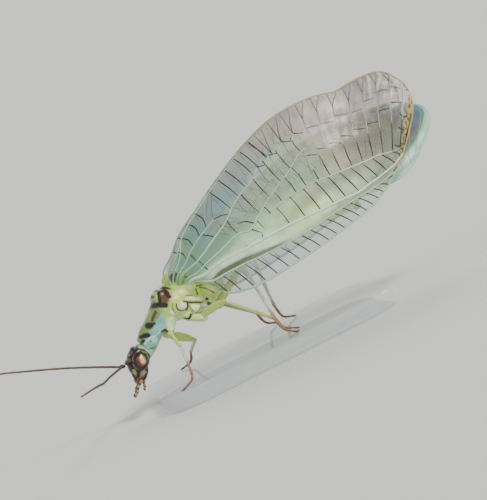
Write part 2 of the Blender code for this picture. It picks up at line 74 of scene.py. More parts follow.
BLACK = (0.012, 0.008, 0.006)
BROWN = (0.060, 0.024, 0.010)
ORANGE_BROWN = (0.26, 0.12, 0.030)
CREAM = (0.80, 0.78, 0.46)
PINKISH = (0.36, 0.25, 0.18)
YELLOW_PATCH = (0.36, 0.33, 0.09)
THIN_SEAM = (0.16, 0.19, 0.07)

HAIR_RADIUS = 0.0045
VIEW_ANGLES = (-8.0, 5.0, 25.5)  # azimuth, elevation and roll of the camera in degrees
VIEW_TARGET = (5.0, 0.0, 4.0)
VIEW_SHIFT = (-0.4, 3.1)  # pixels from the target to the picture's middle
PICTURE_HEIGHT, PIXELS_PER_MM = 500, 21.6
SENSOR_HEIGHT = 24.0
SKY_COLOUR, SKY_STRENGTH = (0.92, 0.96, 1.0, 1.0), 0.58
LAMPS = (  # name, direction, softness in degrees, strength, colour
    ("key_lamp", (0.45, -0.75, 0.85), 14.0, 2.6, (1.0, 0.97, 0.92)),
    ("front_lamp", (0.12, -0.95, 0.16), 12.0, 2.1, (1.0, 0.98, 0.94)),
    ("fill_lamp", (-0.70, -0.80, 0.45), 40.0, 0.5, (0.90, 0.95, 1.0)),
    ("rim_lamp", (0.30, 0.90, 0.80), 30.0, 0.9, (1.0, 1.0, 0.98)),
)


# Curves and grids


def ease(x):
    """Smooth step: 0 below 0, 1 above 1, and 3x2 - 2x3 between."""
    x = np.clip(x, 0.0, 1.0)
    return x * x * (3.0 - 2.0 * x)


def through(knots, values, wanted):
    """A smooth curve through the values at the knots: cubic pieces with the slopes of the chords around."""
    knots, values = np.asarray(knots, float), np.asarray(values, float)
    wanted = np.asarray(wanted, float)
    slopes = np.gradient(values, knots, axis=0)
    piece = np.clip(np.searchsorted(knots, wanted, side="right") - 1, 0, len(knots) - 2)
    span = (knots[piece + 1] - knots[piece])[:, None]
    part = (wanted - knots[piece])[:, None] / span
    start, end = values[piece], values[piece + 1]
    return (
        (2 * part**3 - 3 * part**2 + 1) * start
        + (part**3 - 2 * part**2 + part) * span * slopes[piece]
        + (3 * part**2 - 2 * part**3) * end
        + (part**3 - part**2) * span * slopes[piece + 1]
    )


def along_curve(points, count):
    """Evenly spaced points on the smooth curve through the given ones, by their chord lengths."""
    points = np.asarray(points, float)
    lengths = np.r_[0.0, np.cumsum(np.linalg.norm(np.diff(points, axis=0), axis=1))]
    wanted = np.linspace(0.0, lengths[-1], count) if np.isscalar(count) else np.asarray(count) * lengths[-1]
    return through(lengths, points, wanted)


def unit(vectors):
    """Vectors shortened or stretched to a length of 1."""
    return vectors / np.maximum(np.linalg.norm(vectors, axis=-1, keepdims=True), 1e-12)


def path_length(points):
    return np.linalg.norm(np.diff(points, axis=0), axis=1).sum()


def grid_faces(rows, columns, wrapped):
    """Four-sided faces between neighbours of a grid, closed round its columns when wrapped."""
    last = columns if wrapped else columns - 1
    row, column = (axis.ravel() for axis in np.meshgrid(np.arange(rows - 1), np.arange(last), indexing="ij"))
    after = (column + 1) % columns
    low, high = row * columns, (row + 1) * columns
    return np.column_stack([low + column, low + after, high + after, high + column])


def rod(path, radii, sides=8, reference=(0.0, 0.0, 1.0)):
    """Rings round a path: point + r cos(a) across + r sin(a) upward, where upward leans to the reference.

    The end rings shrink to a point, over a round cap a radius long."""
    path = np.asarray(path, float)
    radii = np.broadcast_to(np.asarray(radii, float), len(path))
    tangent = unit(np.gradient(path, axis=0))
    reference = np.broadcast_to(np.asarray(reference, float), path.shape)
    across = unit(np.cross(tangent, reference))
    upward = np.cross(across, tangent)
    cap = np.array((1.0, 0.72, 0.0))
    bulge = np.sqrt(1.0 - cap**2)
    head = path[0] - tangent[0] * radii[0] * bulge[:, None]
    tail = path[-1] + tangent[-1] * radii[-1] * bulge[:, None]
    line = np.vstack([head[::-1][:2], path, tail[1:]])
    width = np.r_[radii[0] * cap[::-1][:2], radii, radii[-1] * cap[1:]][:, None, None]
    side, up = (with_caps(rows)[:, None] for rows in (across, upward))
    turn = np.linspace(0.0, 2 * math.pi, sides, endpoint=False)[None, :, None]
    return line[:, None] + width * (np.cos(turn) * side + np.sin(turn) * up)


def with_caps(rows):
    """Rows along a path with both ends repeated twice, for the rings of a rod's caps."""
    return np.vstack([rows[:1], rows[:1], rows, rows[-1:], rows[-1:]])


def ringed(tints, sides):
    """Colours along a path made into colours of its rod's rings."""
    return with_caps(tints)[:, None].repeat(sides, 1)


def pointed(rings, centre):
    """Rings with a first and a last one that shrink to the ends of their centre line."""
    sides = rings.shape[1]
    return np.concatenate([centre[:1, None].repeat(sides, 1), rings, centre[-1:, None].repeat(sides, 1)])


def blob(centre, radii, pitch=0.0, yaw=0.0, rows=14, sides=20):
    """An ellipsoid on a grid of latitudes and longitudes, leaning by pitch about Y and yaw about Z."""
    polar = np.linspace(0.0, math.pi, rows)[:, None]
    turn = np.linspace(0.0, 2 * math.pi, sides, endpoint=False)[None, :]
    level = np.sin(polar)
    ball = np.stack([level * np.cos(turn), level * np.sin(turn), np.cos(polar) + 0 * turn], axis=-1)
    lean = Matrix.Rotation(math.radians(yaw), 3, "Z") @ Matrix.Rotation(math.radians(pitch), 3, "Y")
    return np.asarray(centre) + (ball * np.asarray(radii)) @ np.array(lean).T


def trunk(stations, rows, sides=40, power=2.0):
    """Rings in the body's middle plane from x, z, half width and half height.

    Each ring is a superellipse of that power."""
    table = np.asarray(stations, float)
    lengths = np.r_[0.0, np.cumsum(np.hypot(np.diff(table[:, 0]), np.diff(table[:, 1])))]
    fine = through(lengths, table, np.linspace(0.0, lengths[-1], rows))
    centre = np.column_stack([fine[:, 0], np.zeros(rows), fine[:, 1]])
    tangent = unit(np.gradient(centre, axis=0))
    up = np.column_stack([-tangent[:, 2], np.zeros(rows), tangent[:, 0]])
    turn = np.linspace(0.0, 2 * math.pi, sides, endpoint=False)
    cosine, sine = (np.sign(f(turn)) * np.abs(f(turn)) ** (2.0 / power) for f in (np.cos, np.sin))
    rings = centre[:, None] + fine[:, 2, None, None] * cosine[None, :, None] * np.array((0.0, 1.0, 0.0))
    rings = rings + fine[:, 3, None, None] * sine[None, :, None] * up[:, None]
    return pointed(rings, centre)


def both_sides(grid):
    """A shape of the right side and its mirror image on the left."""
    return [grid, grid * np.array((1.0, -1.0, 1.0))]


def ripple(points, scale, seed):
    """Soft noise between -1 and 1: a mean of eight sine waves with seeded directions and phases."""
    source = np.random.default_rng(seed)
    waves = source.normal(size=(8, 3)) * scale
    phases = source.uniform(0.0, 2 * math.pi, 8)
    return np.sin(points @ waves.T + phases).sum(axis=-1) / 4.0


# Pieces


def mix(first, second, share):
    """The first value where the share is 0, the second where it is 1, and a blend between."""
    share = np.asarray(share)[..., None]
    return np.asarray(first) * (1.0 - share) + np.asarray(second) * share


def near(points, centre, radii, soft=0.3):
    """1 inside an ellipsoid and 0 outside, with a soft rim."""
    distance = np.linalg.norm((points - np.asarray(centre)) / np.asarray(radii), axis=-1)
    return 1.0 - ease((distance - 1.0 + soft) / (2 * soft))


def stroke(points, start, end, width, soft=0.35):
    """1 within a width of the line from start to end, with a soft rim."""
    start, end = np.asarray(start, float), np.asarray(end, float)
    line = end - start
    share = np.clip((points - start) @ line / max(line @ line, 1e-9), 0.0, 1.0)
    distance = np.linalg.norm(points - start - share[..., None] * line, axis=-1) / width
    return 1.0 - ease((distance - 1.0 + soft) / (2 * soft))


def painted(tint, points, marks, soft=0.35):
    """Lays marks over a tint, one after another: colour, width and the corners of its line. A step sideways
    counts for little, so a mark wraps round the flank that it lies on."""
    flank = np.abs(points * (0.0, 1.0, 0.0)) + points * (1.0, 0.0, 1.0)
    flank = flank * (1.0, 0.15, 1.0)
    for colour, width, *corners in marks:
        corners = np.array(corners) * (1.0, 0.15, 1.0)
        cover = np.zeros(len(points))
        for start, end in zip(corners[:-1], corners[1:]):
            cover = np.maximum(cover, stroke(flank, start, end, width, soft))
        tint = mix(tint, colour, cover)
    return tint


def weld(mesh, distance):
    """Merges the mesh's doubles and turns its faces outwards."""
    shape = bmesh.new()
    shape.from_mesh(mesh)
    bmesh.ops.remove_doubles(shape, verts=shape.verts, dist=distance)
    bmesh.ops.recalc_face_normals(shape, faces=shape.faces)
    shape.to_mesh(mesh)
    shape.free()


class Shape:
    """Surfaces gathered into one piece, with a colour and an opacity at every point."""

    def __init__(self):
        self.points, self.faces, self.tints, self.count = [], [], [], 0

    def add(self, points, faces, tint):
        """Takes in points, faces and one colour for all or one for each point, with or without an opacity."""
        points = np.asarray(points, float).reshape(-1, 3)
        tint = np.asarray(tint, float)
        tint = tint.reshape(-1, tint.shape[-1])
        if tint.shape[-1] == 3:
            tint = np.column_stack([tint, np.ones(len(tint))])
        self.points.append(points)
        self.tints.append(np.broadcast_to(tint, (len(points), 4)))
        self.faces += (np.asarray(faces) + self.count).tolist()
        self.count += len(points)

    def grid(self, points, tint, wrapped=True):
        self.add(points, grid_faces(points.shape[0], points.shape[1], wrapped), tint)

    def finish(self, name, slot, material, replaced=(), closed=True):
        """Makes the piece in metres and tells the frame its body and the nodes it replaces. The slot is not
        used.
        """
        mesh = bpy.data.meshes.new(name)
        mesh.from_pydata((np.vstack(self.points) * MM + DATUM).tolist(), [], self.faces)
        tint = mesh.color_attributes.new("tint", "FLOAT_COLOR", "POINT")
        tint.data.foreach_set("color", np.vstack(self.tints).astype(np.float32).ravel())
        if closed:
            weld(mesh, 1e-9)
        mesh.shade_smooth()
        mesh.materials.append(material)
        piece = bpy.data.objects.new(name, mesh)
        bpy.context.scene.collection.objects.link(piece)
        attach(piece, "root")
        if replaced:
            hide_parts(*replaced)
        return piece


def melted(grids, voxel, smoothing):
    """Closed shells melted into one skin by a voxel remesh and eased: its points, faces and normals."""
    shells = Shape()
    for grid in grids:
        shells.grid(grid, BLACK)
    mesh = bpy.data.meshes.new("shells")
    mesh.from_pydata(np.vstack(shells.points).tolist(), [], shells.faces)
    weld(mesh, 1e-6)
    holder = bpy.data.objects.new("shells", mesh)
    bpy.context.scene.collection.objects.link(holder)
    remesh = holder.modifiers.new("melt", "REMESH")
    remesh.mode = "VOXEL"
    remesh.voxel_size = voxel
    relax = holder.modifiers.new("relax", "SMOOTH")
    relax.factor = 0.5
    relax.iterations = smoothing
    bpy.context.view_layer.update()
    skin = bpy.data.meshes.new_from_object(holder.evaluated_get(bpy.context.evaluated_depsgraph_get()))
    bpy.data.objects.remove(holder)
    count = len(skin.vertices)
    places, directions = np.empty(count * 3), np.empty(count * 3)
    skin.vertices.foreach_get("co", places)
    skin.vertex_normals.foreach_get("vector", directions)
    corners = np.empty(len(skin.loops), np.int64)
    skin.loops.foreach_get("vertex_index", corners)
    bpy.data.meshes.remove(skin)
    return places.reshape(-1, 3), corners.reshape(-1, 4), directions.reshape(-1, 3)


def hair_tufts(roots, directions, lengths, radius, bend):
    """Curved cones of three sides: each hair has a base ring, a middle ring pushed by the bend, and a tip."""
    roots, directions = np.asarray(roots, float), unit(np.asarray(directions, float))
    count = len(roots)
    lengths = np.broadcast_to(np.asarray(lengths, float), count)[:, None]
    helper = np.where(np.abs(directions[:, 2:3]) < 0.9, (0.0, 0.0, 1.0), (1.0, 0.0, 0.0))
    across = unit(np.cross(directions, helper))
    upward = np.cross(directions, across)
    middle = roots + directions * lengths * 0.55
    tips = roots + unit(directions + np.asarray(bend) * 0.8) * lengths
    turn = np.array((0.0, 2 * math.pi / 3, 4 * math.pi / 3))
    ring = np.cos(turn)[None, :, None] * across[:, None] + np.sin(turn)[None, :, None] * upward[:, None]
    sunk = roots - directions * radius
    base, waist = sunk[:, None] + radius * ring, middle[:, None] + 0.7 * radius * ring
    points = np.concatenate([base, waist, tips[:, None]], axis=1)
    first = 7 * np.arange(count)[:, None]
    strips = [(2, 1, 0)]
    for side in range(3):
        after = (side + 1) % 3
        strips += [(side, after, 3 + after), (side, 3 + after, 3 + side), (3 + side, 3 + after, 6)]
    faces = (first + np.array(strips).ravel()).reshape(-1, 3)
    return points.reshape(-1, 3), faces


def sprinkle(hairs, centres, tangent, reach, lean, length, source, tint):
    """Hairs round a stalk: each starts at its reach from the axis, in a random direction, and leans."""
    around = source.normal(size=centres.shape)
    around = unit(around - (around * tangent).sum(1)[:, None] * tangent)
    lengths = length * source.uniform(0.7, 1.2, len(centres))
    roots = centres + around * reach[:, None]
    hairs.add(*hair_tufts(roots, around + lean * tangent, lengths, HAIR_RADIUS, tangent), tint)


# Materials


class Wire:
    """A socket of a node tree. Arithmetic on it adds Math nodes."""

    def __init__(self, tree, socket):
        self.tree, self.socket = tree, socket

    def math(self, operation, first, second=0.0):
        node = self.tree.nodes.new("ShaderNodeMath")
        node.operation = operation
        for place, value in zip(node.inputs, (first, second)):
            if isinstance(value, Wire):
                self.tree.links.new(value.socket, place)
            else:
                place.default_value = value
        return Wire(self.tree, node.outputs[0])

    def __add__(self, other):
        return self.math("ADD", self, other)

    def __radd__(self, other):
        return self.math("ADD", other, self)

    def __mul__(self, other):
        return self.math("MULTIPLY", self, other)

    def __rmul__(self, other):
        return self.math("MULTIPLY", other, self)


class Finish:
    """A material in the making: its shader's own sockets, and nodes that feed it."""

    def __init__(self, name, **sockets):
        self.material = bpy.data.materials.new(name)
        self.material.use_nodes = True
        self.tree = self.material.node_tree
        self.shader = self.tree.nodes["Principled BSDF"]
        for socket, value in sockets.items():
            self.shader.inputs[socket.replace("_", " ")].default_value = value

    def node(self, kind, settings=None, values=None, output=0):
        """One node of that kind: its settings first, then the values or links of its sockets."""
        node = self.tree.nodes.new(kind)
        for key, value in (settings or {}).items():
            setattr(node, key, value)
        for key, value in (values or {}).items():
            if isinstance(value, Wire):
                self.tree.links.new(value.socket, node.inputs[key])
            else:
                node.inputs[key].default_value = value
        return Wire(self.tree, node.outputs[output])

    def feed(self, socket, wire):
        self.tree.links.new(wire.socket, self.shader.inputs[socket])

    def place(self):
        return self.node("ShaderNodeTexCoord", output="Object")

    def tint(self, output="Color"):
        return self.node("ShaderNodeAttribute", {"attribute_name": "tint"}, output=output)

    def noise(self, scale, detail=3.0):
        values = {"Vector": self.place(), "Scale": scale / MM, "Detail": detail}
        return self.node("ShaderNodeTexNoise", None, values)

    def cells(self, scale):
        return self.node("ShaderNodeTexVoronoi", None, {"Vector": self.place(), "Scale": scale / MM})

    def shade(self, colour, light, strength=0.5):
        """The colour made lighter or darker by a value round 0.5."""
        reach = {0: light, 1: 0.0, 2: 1.0, 3: 1.0 - strength, 4: 1.0 + strength}
        grey = self.node("ShaderNodeMapRange", None, reach)
        values = {0: 1.0, 6: colour, 7: self.node("ShaderNodeCombineColor", None,
                                                  {0: grey, 1: grey, 2: grey})}
        return self.node("ShaderNodeMix", {"data_type": "RGBA", "blend_type": "MULTIPLY"}, values, 2)

    def bump(self, height, distance, strength=0.5):
        values = {"Height": height, "Distance": distance * MM, "Strength": strength}
        self.feed("Normal", self.node("ShaderNodeBump", None, values))


def cuticle(name, roughness, grain, relief, **sockets):
    """Painted cuticle: the piece's own tint, mottled by noise, over a finely netted surface."""
    finish = Finish(name, **sockets)
    mottle = finish.noise(grain, 4.0)
    finish.feed("Base Color", finish.shade(finish.tint(), mottle, 0.30))
    finish.feed("Roughness", roughness - 0.10 + 0.20 * finish.noise(2.0 * grain, 2.0))
    finish.bump(finish.noise(3.0 * grain, 5.0) + 0.6 * finish.cells(2.4 * grain), relief, 0.6)
    return finish.material


def eye_material():
    """Facets: a fine net of cells that dents the polished, half metallic surface."""
    finish = Finish("compound_eye", Metallic=0.75, Coat_Weight=0.6, Coat_Roughness=0.05, IOR=1.5)
    finish.feed("Base Color", finish.shade(finish.tint(), finish.cells(26.0), 0.30))
    finish.feed("Roughness", 0.22 + 0.14 * finish.noise(2.0))
    finish.bump(finish.cells(26.0), 0.006, 0.6)
    return finish.material


def membrane_material(roughness):
    """Clear film: a soft oil-like tint from the piece, which carries its painted sheen and iridescence, faint
    wrinkles, and the piece's own opacity.
    """
    finish = Finish("wing_membrane", IOR=1.45, Coat_Weight=0.2, Coat_Roughness=0.12)
    finish.shader.inputs["Thin Film Thickness"].default_value = 420.0
    finish.shader.inputs["Thin Film IOR"].default_value = 1.4
    grain = finish.noise(1.4, 3.0)
    finish.feed("Base Color", finish.shade(finish.tint(), grain, 0.35))
    finish.feed("Roughness", roughness + 0.16 * finish.noise(3.0, 2.0))
    finish.feed("Alpha", finish.tint("Alpha") * (0.75 + 0.5 * grain))
    finish.bump(finish.noise(2.6, 4.0), 0.05, 0.5)
    return finish.material


def plain_material(name, colour, mottle, roughness, **sockets):
    """One colour, faintly mottled.

    Mottle is a noise's scale and strength; roughness is a base, a reach, and a noise's scale and detail."""
    finish = Finish(name, **sockets)
    base = finish.node("ShaderNodeRGB")
    base.socket.default_value = (*colour, 1.0)
    finish.feed("Base Color", finish.shade(base, finish.noise(mottle[0]), mottle[1]))
    finish.feed("Roughness", roughness[0] + roughness[1] * finish.noise(*roughness[2:]))
    return finish.material


def plate_material(colour):
    """Clear plate, polished under its coat."""
    sockets = {"IOR": 1.49, "Coat_Weight": 1.0, "Coat_Roughness": 0.02, "Alpha": 0.30}
    return plain_material("clear_plate", colour, (0.05, 0.04), (0.03, 0.05, 0.4, 4.0), **sockets)


def floor_material(colour):
    """Pale, matt studio floor."""
    return plain_material("studio_floor", colour, (0.03, 0.03), (0.75, 0.1, 0.2, 3.0))


# Head

CROWN = (-1.25, 2.38)
HEAD_LEAN = math.radians(26.7)
EYE_CENTRE = np.array((-1.51, 0.50, 1.71))
EYE_RADII = (0.405, 0.42, 0.475)
HEAD_STATIONS = (  # distance from crown, shift to the front, half width, half depth
    (0.00, -0.06, 0.18, 0.12),
    (0.08, -0.07, 0.33, 0.23),
    (0.20, -0.07, 0.45, 0.33),
    (0.38, -0.04, 0.53, 0.45),
    (0.68, -0.01, 0.56, 0.54),
    (0.99, -0.02, 0.50, 0.50),
    (1.29, -0.12, 0.40, 0.38),
    (1.54, -0.13, 0.31, 0.28),
    (1.70, -0.12, 0.23, 0.20),
)
HEAD_LOBES = (  # distance below the crown, in front of the axis and to the right, and the radii
    (1.28, 0.12, 0.0, (0.18, 0.27, 0.30)),
    (1.62, 0.03, 0.0, (0.16, 0.22, 0.20)),
    (0.30, 0.22, 0.0, (0.18, 0.34, 0.22)),
    (1.16, -0.16, 0.28, (0.24, 0.16, 0.34)),
    (0.62, 0.40, 0.20, (0.10, 0.12, 0.11)),
    (0.50, -0.34, 0.30, (0.20, 0.22, 0.30)),
)


def head_place(down, forward, across=0.0):
    """A point of the head from its distance below the crown, in front of its axis and to the right."""
    x = CROWN[0] - down * math.sin(HEAD_LEAN) - forward * math.cos(HEAD_LEAN)
    z = CROWN[1] - down * math.cos(HEAD_LEAN) + forward * math.sin(HEAD_LEAN)
    return np.array((x, across, z))


def head_shells():
    """The capsule, cheeks, face shield, upper lip and rings that hold the feelers."""
    shells = [trunk([(*head_place(*row[:2])[[0, 2]], *row[2:]) for row in HEAD_STATIONS], 40, 36, 2.3)]
    for down, forward, across, radii in HEAD_LOBES:
        shell = blob(head_place(down, forward, across), radii, math.degrees(HEAD_LEAN))
        shells += both_sides(shell) if across else [shell]
    return shells


HEAD_MARKS = (  # colour, width, corners of the line
    (BLACK, 0.10, (-1.46, 0.10, 2.34), (-1.80, 0.10, 2.22), (-2.02, 0.10, 1.98), (-2.08, 0.10, 1.70)),
    (BLACK, 0.12, (-1.46, 0.30, 2.32), (-1.74, 0.36, 2.18), (-1.92, 0.36, 1.98), (-1.97, 0.38, 1.68),
     (-1.90, 0.40, 1.52)),
    ((0.11, 0.050, 0.036), 0.045, (-1.68, 0.34, 2.22), (-1.74, 0.34, 2.16)),
    ((0.14, 0.080, 0.058), 0.045, (-1.96, 0.34, 1.98), (-1.95, 0.34, 1.90)),
    ((0.62, 0.42, 0.36), 0.022, (-1.84, 0.30, 2.15), (-1.86, 0.32, 2.13)),
    (BLACK, 0.080, (-2.06, 0.30, 1.62), (-2.10, 0.26, 1.40), (-2.10, 0.20, 1.10)),
    (YELLOW_PATCH, 0.070, (-1.98, 0.32, 1.42), (-1.98, 0.30, 1.28)),
    ((0.040, 0.016, 0.014), 0.110, (-1.98, 0.24, 1.02), (-1.80, 0.30, 0.92), (-1.66, 0.30, 0.92)),
    (BLACK, 0.085, (-1.77, 0.42, 1.42), (-1.84, 0.38, 1.24), (-1.93, 0.34, 1.02)),
    (BLACK, 0.070, (-1.93, 0.34, 1.05), (-2.06, 0.22, 0.94), (-2.06, 0.0, 0.94)),
    (PINKISH, 0.115, (-1.62, 0.42, 1.20), (-1.68, 0.40, 1.08)),
    ((0.50, 0.42, 0.33), 0.045, (-1.56, 0.42, 1.22), (-1.62, 0.40, 1.12)),
    (BLACK, 0.050, (-1.40, 0.44, 1.25), (-1.25, 0.44, 1.22)),
    (BLACK, 0.055, (-1.40, 0.40, 1.10), (-1.62, 0.36, 0.95)),
    ((0.30, 0.12, 0.09), 0.065, (-1.88, 0.30, 0.98), (-1.96, 0.10, 0.86)),
    (BLACK, 0.050, (-2.02, 0.24, 0.94), (-2.04, 0.20, 0.84)),
    (BLACK, 0.045, (-1.62, 0.30, 0.88), (-1.78, 0.26, 0.84)),
)


def head_colours(points):
    """Cream ground with a black frame round the eye, then the patches and stripes of the face."""
    folded = np.abs(points * (0.0, 1.0, 0.0)) + points * (1.0, 0.0, 1.0)
    tint = mix((0.26, 0.25, 0.10), (0.44, 0.50, 0.30), ease((points[:, 0] + 1.60) / 0.35))
    flat = (folded - EYE_CENTRE) * (1.0, 0.0, 1.0)
    reach = np.hypot(flat[:, 0] / EYE_RADII[0], flat[:, 2] / EYE_RADII[2])
    tint = mix(tint, BLACK, (1.0 - ease((reach - 1.16) / 0.12)) * ease((folded[:, 1] - 0.18) / 0.1))
    tint = mix(tint, BLACK, near(folded, (-1.40, 0.15, 2.40), (0.16, 0.34, 0.12)))
    return painted(tint, points, HEAD_MARKS, 0.5)


# Trunk

TRUNK_STATIONS = (  # x, z, half width, half height
    (-0.98, 2.20, 0.40, 0.42),
    (-0.70, 2.44, 0.53, 0.51),
    (-0.35, 2.68, 0.58, 0.54),
    (0.00, 2.92, 0.61, 0.56),
    (0.30, 3.12, 0.66, 0.64),
    (0.62, 3.28, 0.78, 0.80),
    (1.05, 3.40, 0.88, 0.94),
    (1.60, 3.46, 0.93, 1.02),
    (2.15, 3.46, 0.91, 0.98),
    (2.70, 3.50, 0.82, 0.86),
    (3.10, 3.58, 0.64, 0.68),
    (3.45, 3.66, 0.46, 0.50),
)
NECK = ((-1.35, 1.72, 0.26, 0.30), (-1.05, 1.95, 0.33, 0.38), (-0.75, 2.22, 0.38, 0.42),
        (-0.50, 2.45, 0.40, 0.42))
LOBES = (  # centre, radii, pitch, yaw of the swellings of the right side
    ((0.58, 0.34, 3.86), (0.46, 0.34, 0.36), -24, 0),
    ((0.30, 0.22, 3.62), (0.26, 0.26, 0.26), -24, 0),
    ((1.44, 0.42, 4.28), (0.46, 0.38, 0.46), -14, 0),
    ((1.80, 0.74, 4.12), (0.30, 0.20, 0.26), 0, 0),
    ((2.50, 0.34, 4.06), (0.40, 0.34, 0.34), 8, 0),
    ((2.78, 0.62, 3.96), (0.26, 0.20, 0.22), 0, 0),
    ((1.52, 0.72, 3.66), (0.46, 0.24, 0.34), 20, 8),
    ((1.24, 0.85, 3.15), (0.25, 0.16, 0.22), 27, 3),
    ((1.78, 0.80, 2.80), (0.28, 0.16, 0.18), 27, -4),
    ((1.87, 0.87, 3.21), (0.40, 0.14, 0.13), 27, -4),
    ((2.28, 0.74, 2.74), (0.16, 0.16, 0.16), 27, 0),
    ((2.30, 0.76, 3.48), (0.22, 0.16, 0.18), 12, -8),
    ((2.82, 0.66, 3.26), (0.30, 0.16, 0.24), 12, -24),
    ((0.96, 0.70, 3.56), (0.20, 0.16, 0.20), 0, 20),
    ((1.74, 0.84, 3.96), (0.56, 0.15, 0.19), 10, 6),
    ((1.30, 0.80, 4.16), (0.22, 0.12, 0.20), -20, 10),
    ((0.72, 0.66, 3.06), (0.20, 0.14, 0.20), 20, 20),
    ((0.46, 0.56, 2.74), (0.30, 0.20, 0.26), -20, 20),
    ((1.44, 0.52, 2.58), (0.42, 0.28, 0.24), 20, 0),
    ((2.36, 0.46, 2.74), (0.36, 0.26, 0.24), 10, 0),
    ((-0.62, 0.36, 2.30), (0.26, 0.22, 0.28), -30, 0),
    ((-0.10, 0.44, 2.62), (0.34, 0.22, 0.28), -30, 0),
)
MIDDLE_LOBES = (
    ((2.02, 0.0, 4.22), (0.36, 0.30, 0.30), 0),
    ((2.95, 0.0, 4.00), (0.30, 0.26, 0.22), 0),
    ((-0.10, 0.0, 3.34), (0.36, 0.44, 0.16), -34),
    ((-0.66, 0.0, 2.94), (0.34, 0.42, 0.12), -34),
)
HIP_LIMBS = (  # hip joints: base, tip, radii at both, on the right side
    ((0.54, 0.42, 2.80), (0.27, 0.68, 2.32), 0.31, 0.19),
    ((1.34, 0.50, 2.60), (1.96, 0.72, 2.16), 0.26, 0.16),
    ((2.36, 0.48, 2.84), (2.86, 0.72, 2.40), 0.27, 0.17),
)


def trunk_shells():
    """Neck, body tube, lobes of the back, plates of the sides and the hip joints."""
    shells = [trunk(TRUNK_STATIONS, 60, 44, 2.15), trunk(NECK, 16, 28)]
    for centre, radii, pitch, yaw in LOBES:
        shells += both_sides(blob(centre, radii, pitch, yaw))
    for centre, radii, pitch in MIDDLE_LOBES:
        shells.append(blob(centre, radii, pitch))
    for base, tip, wide, narrow in HIP_LIMBS:
        path = along_curve((base, tip), 10)
        shells += both_sides(rod(path, np.linspace(wide, narrow, 10), 16))
    return shells


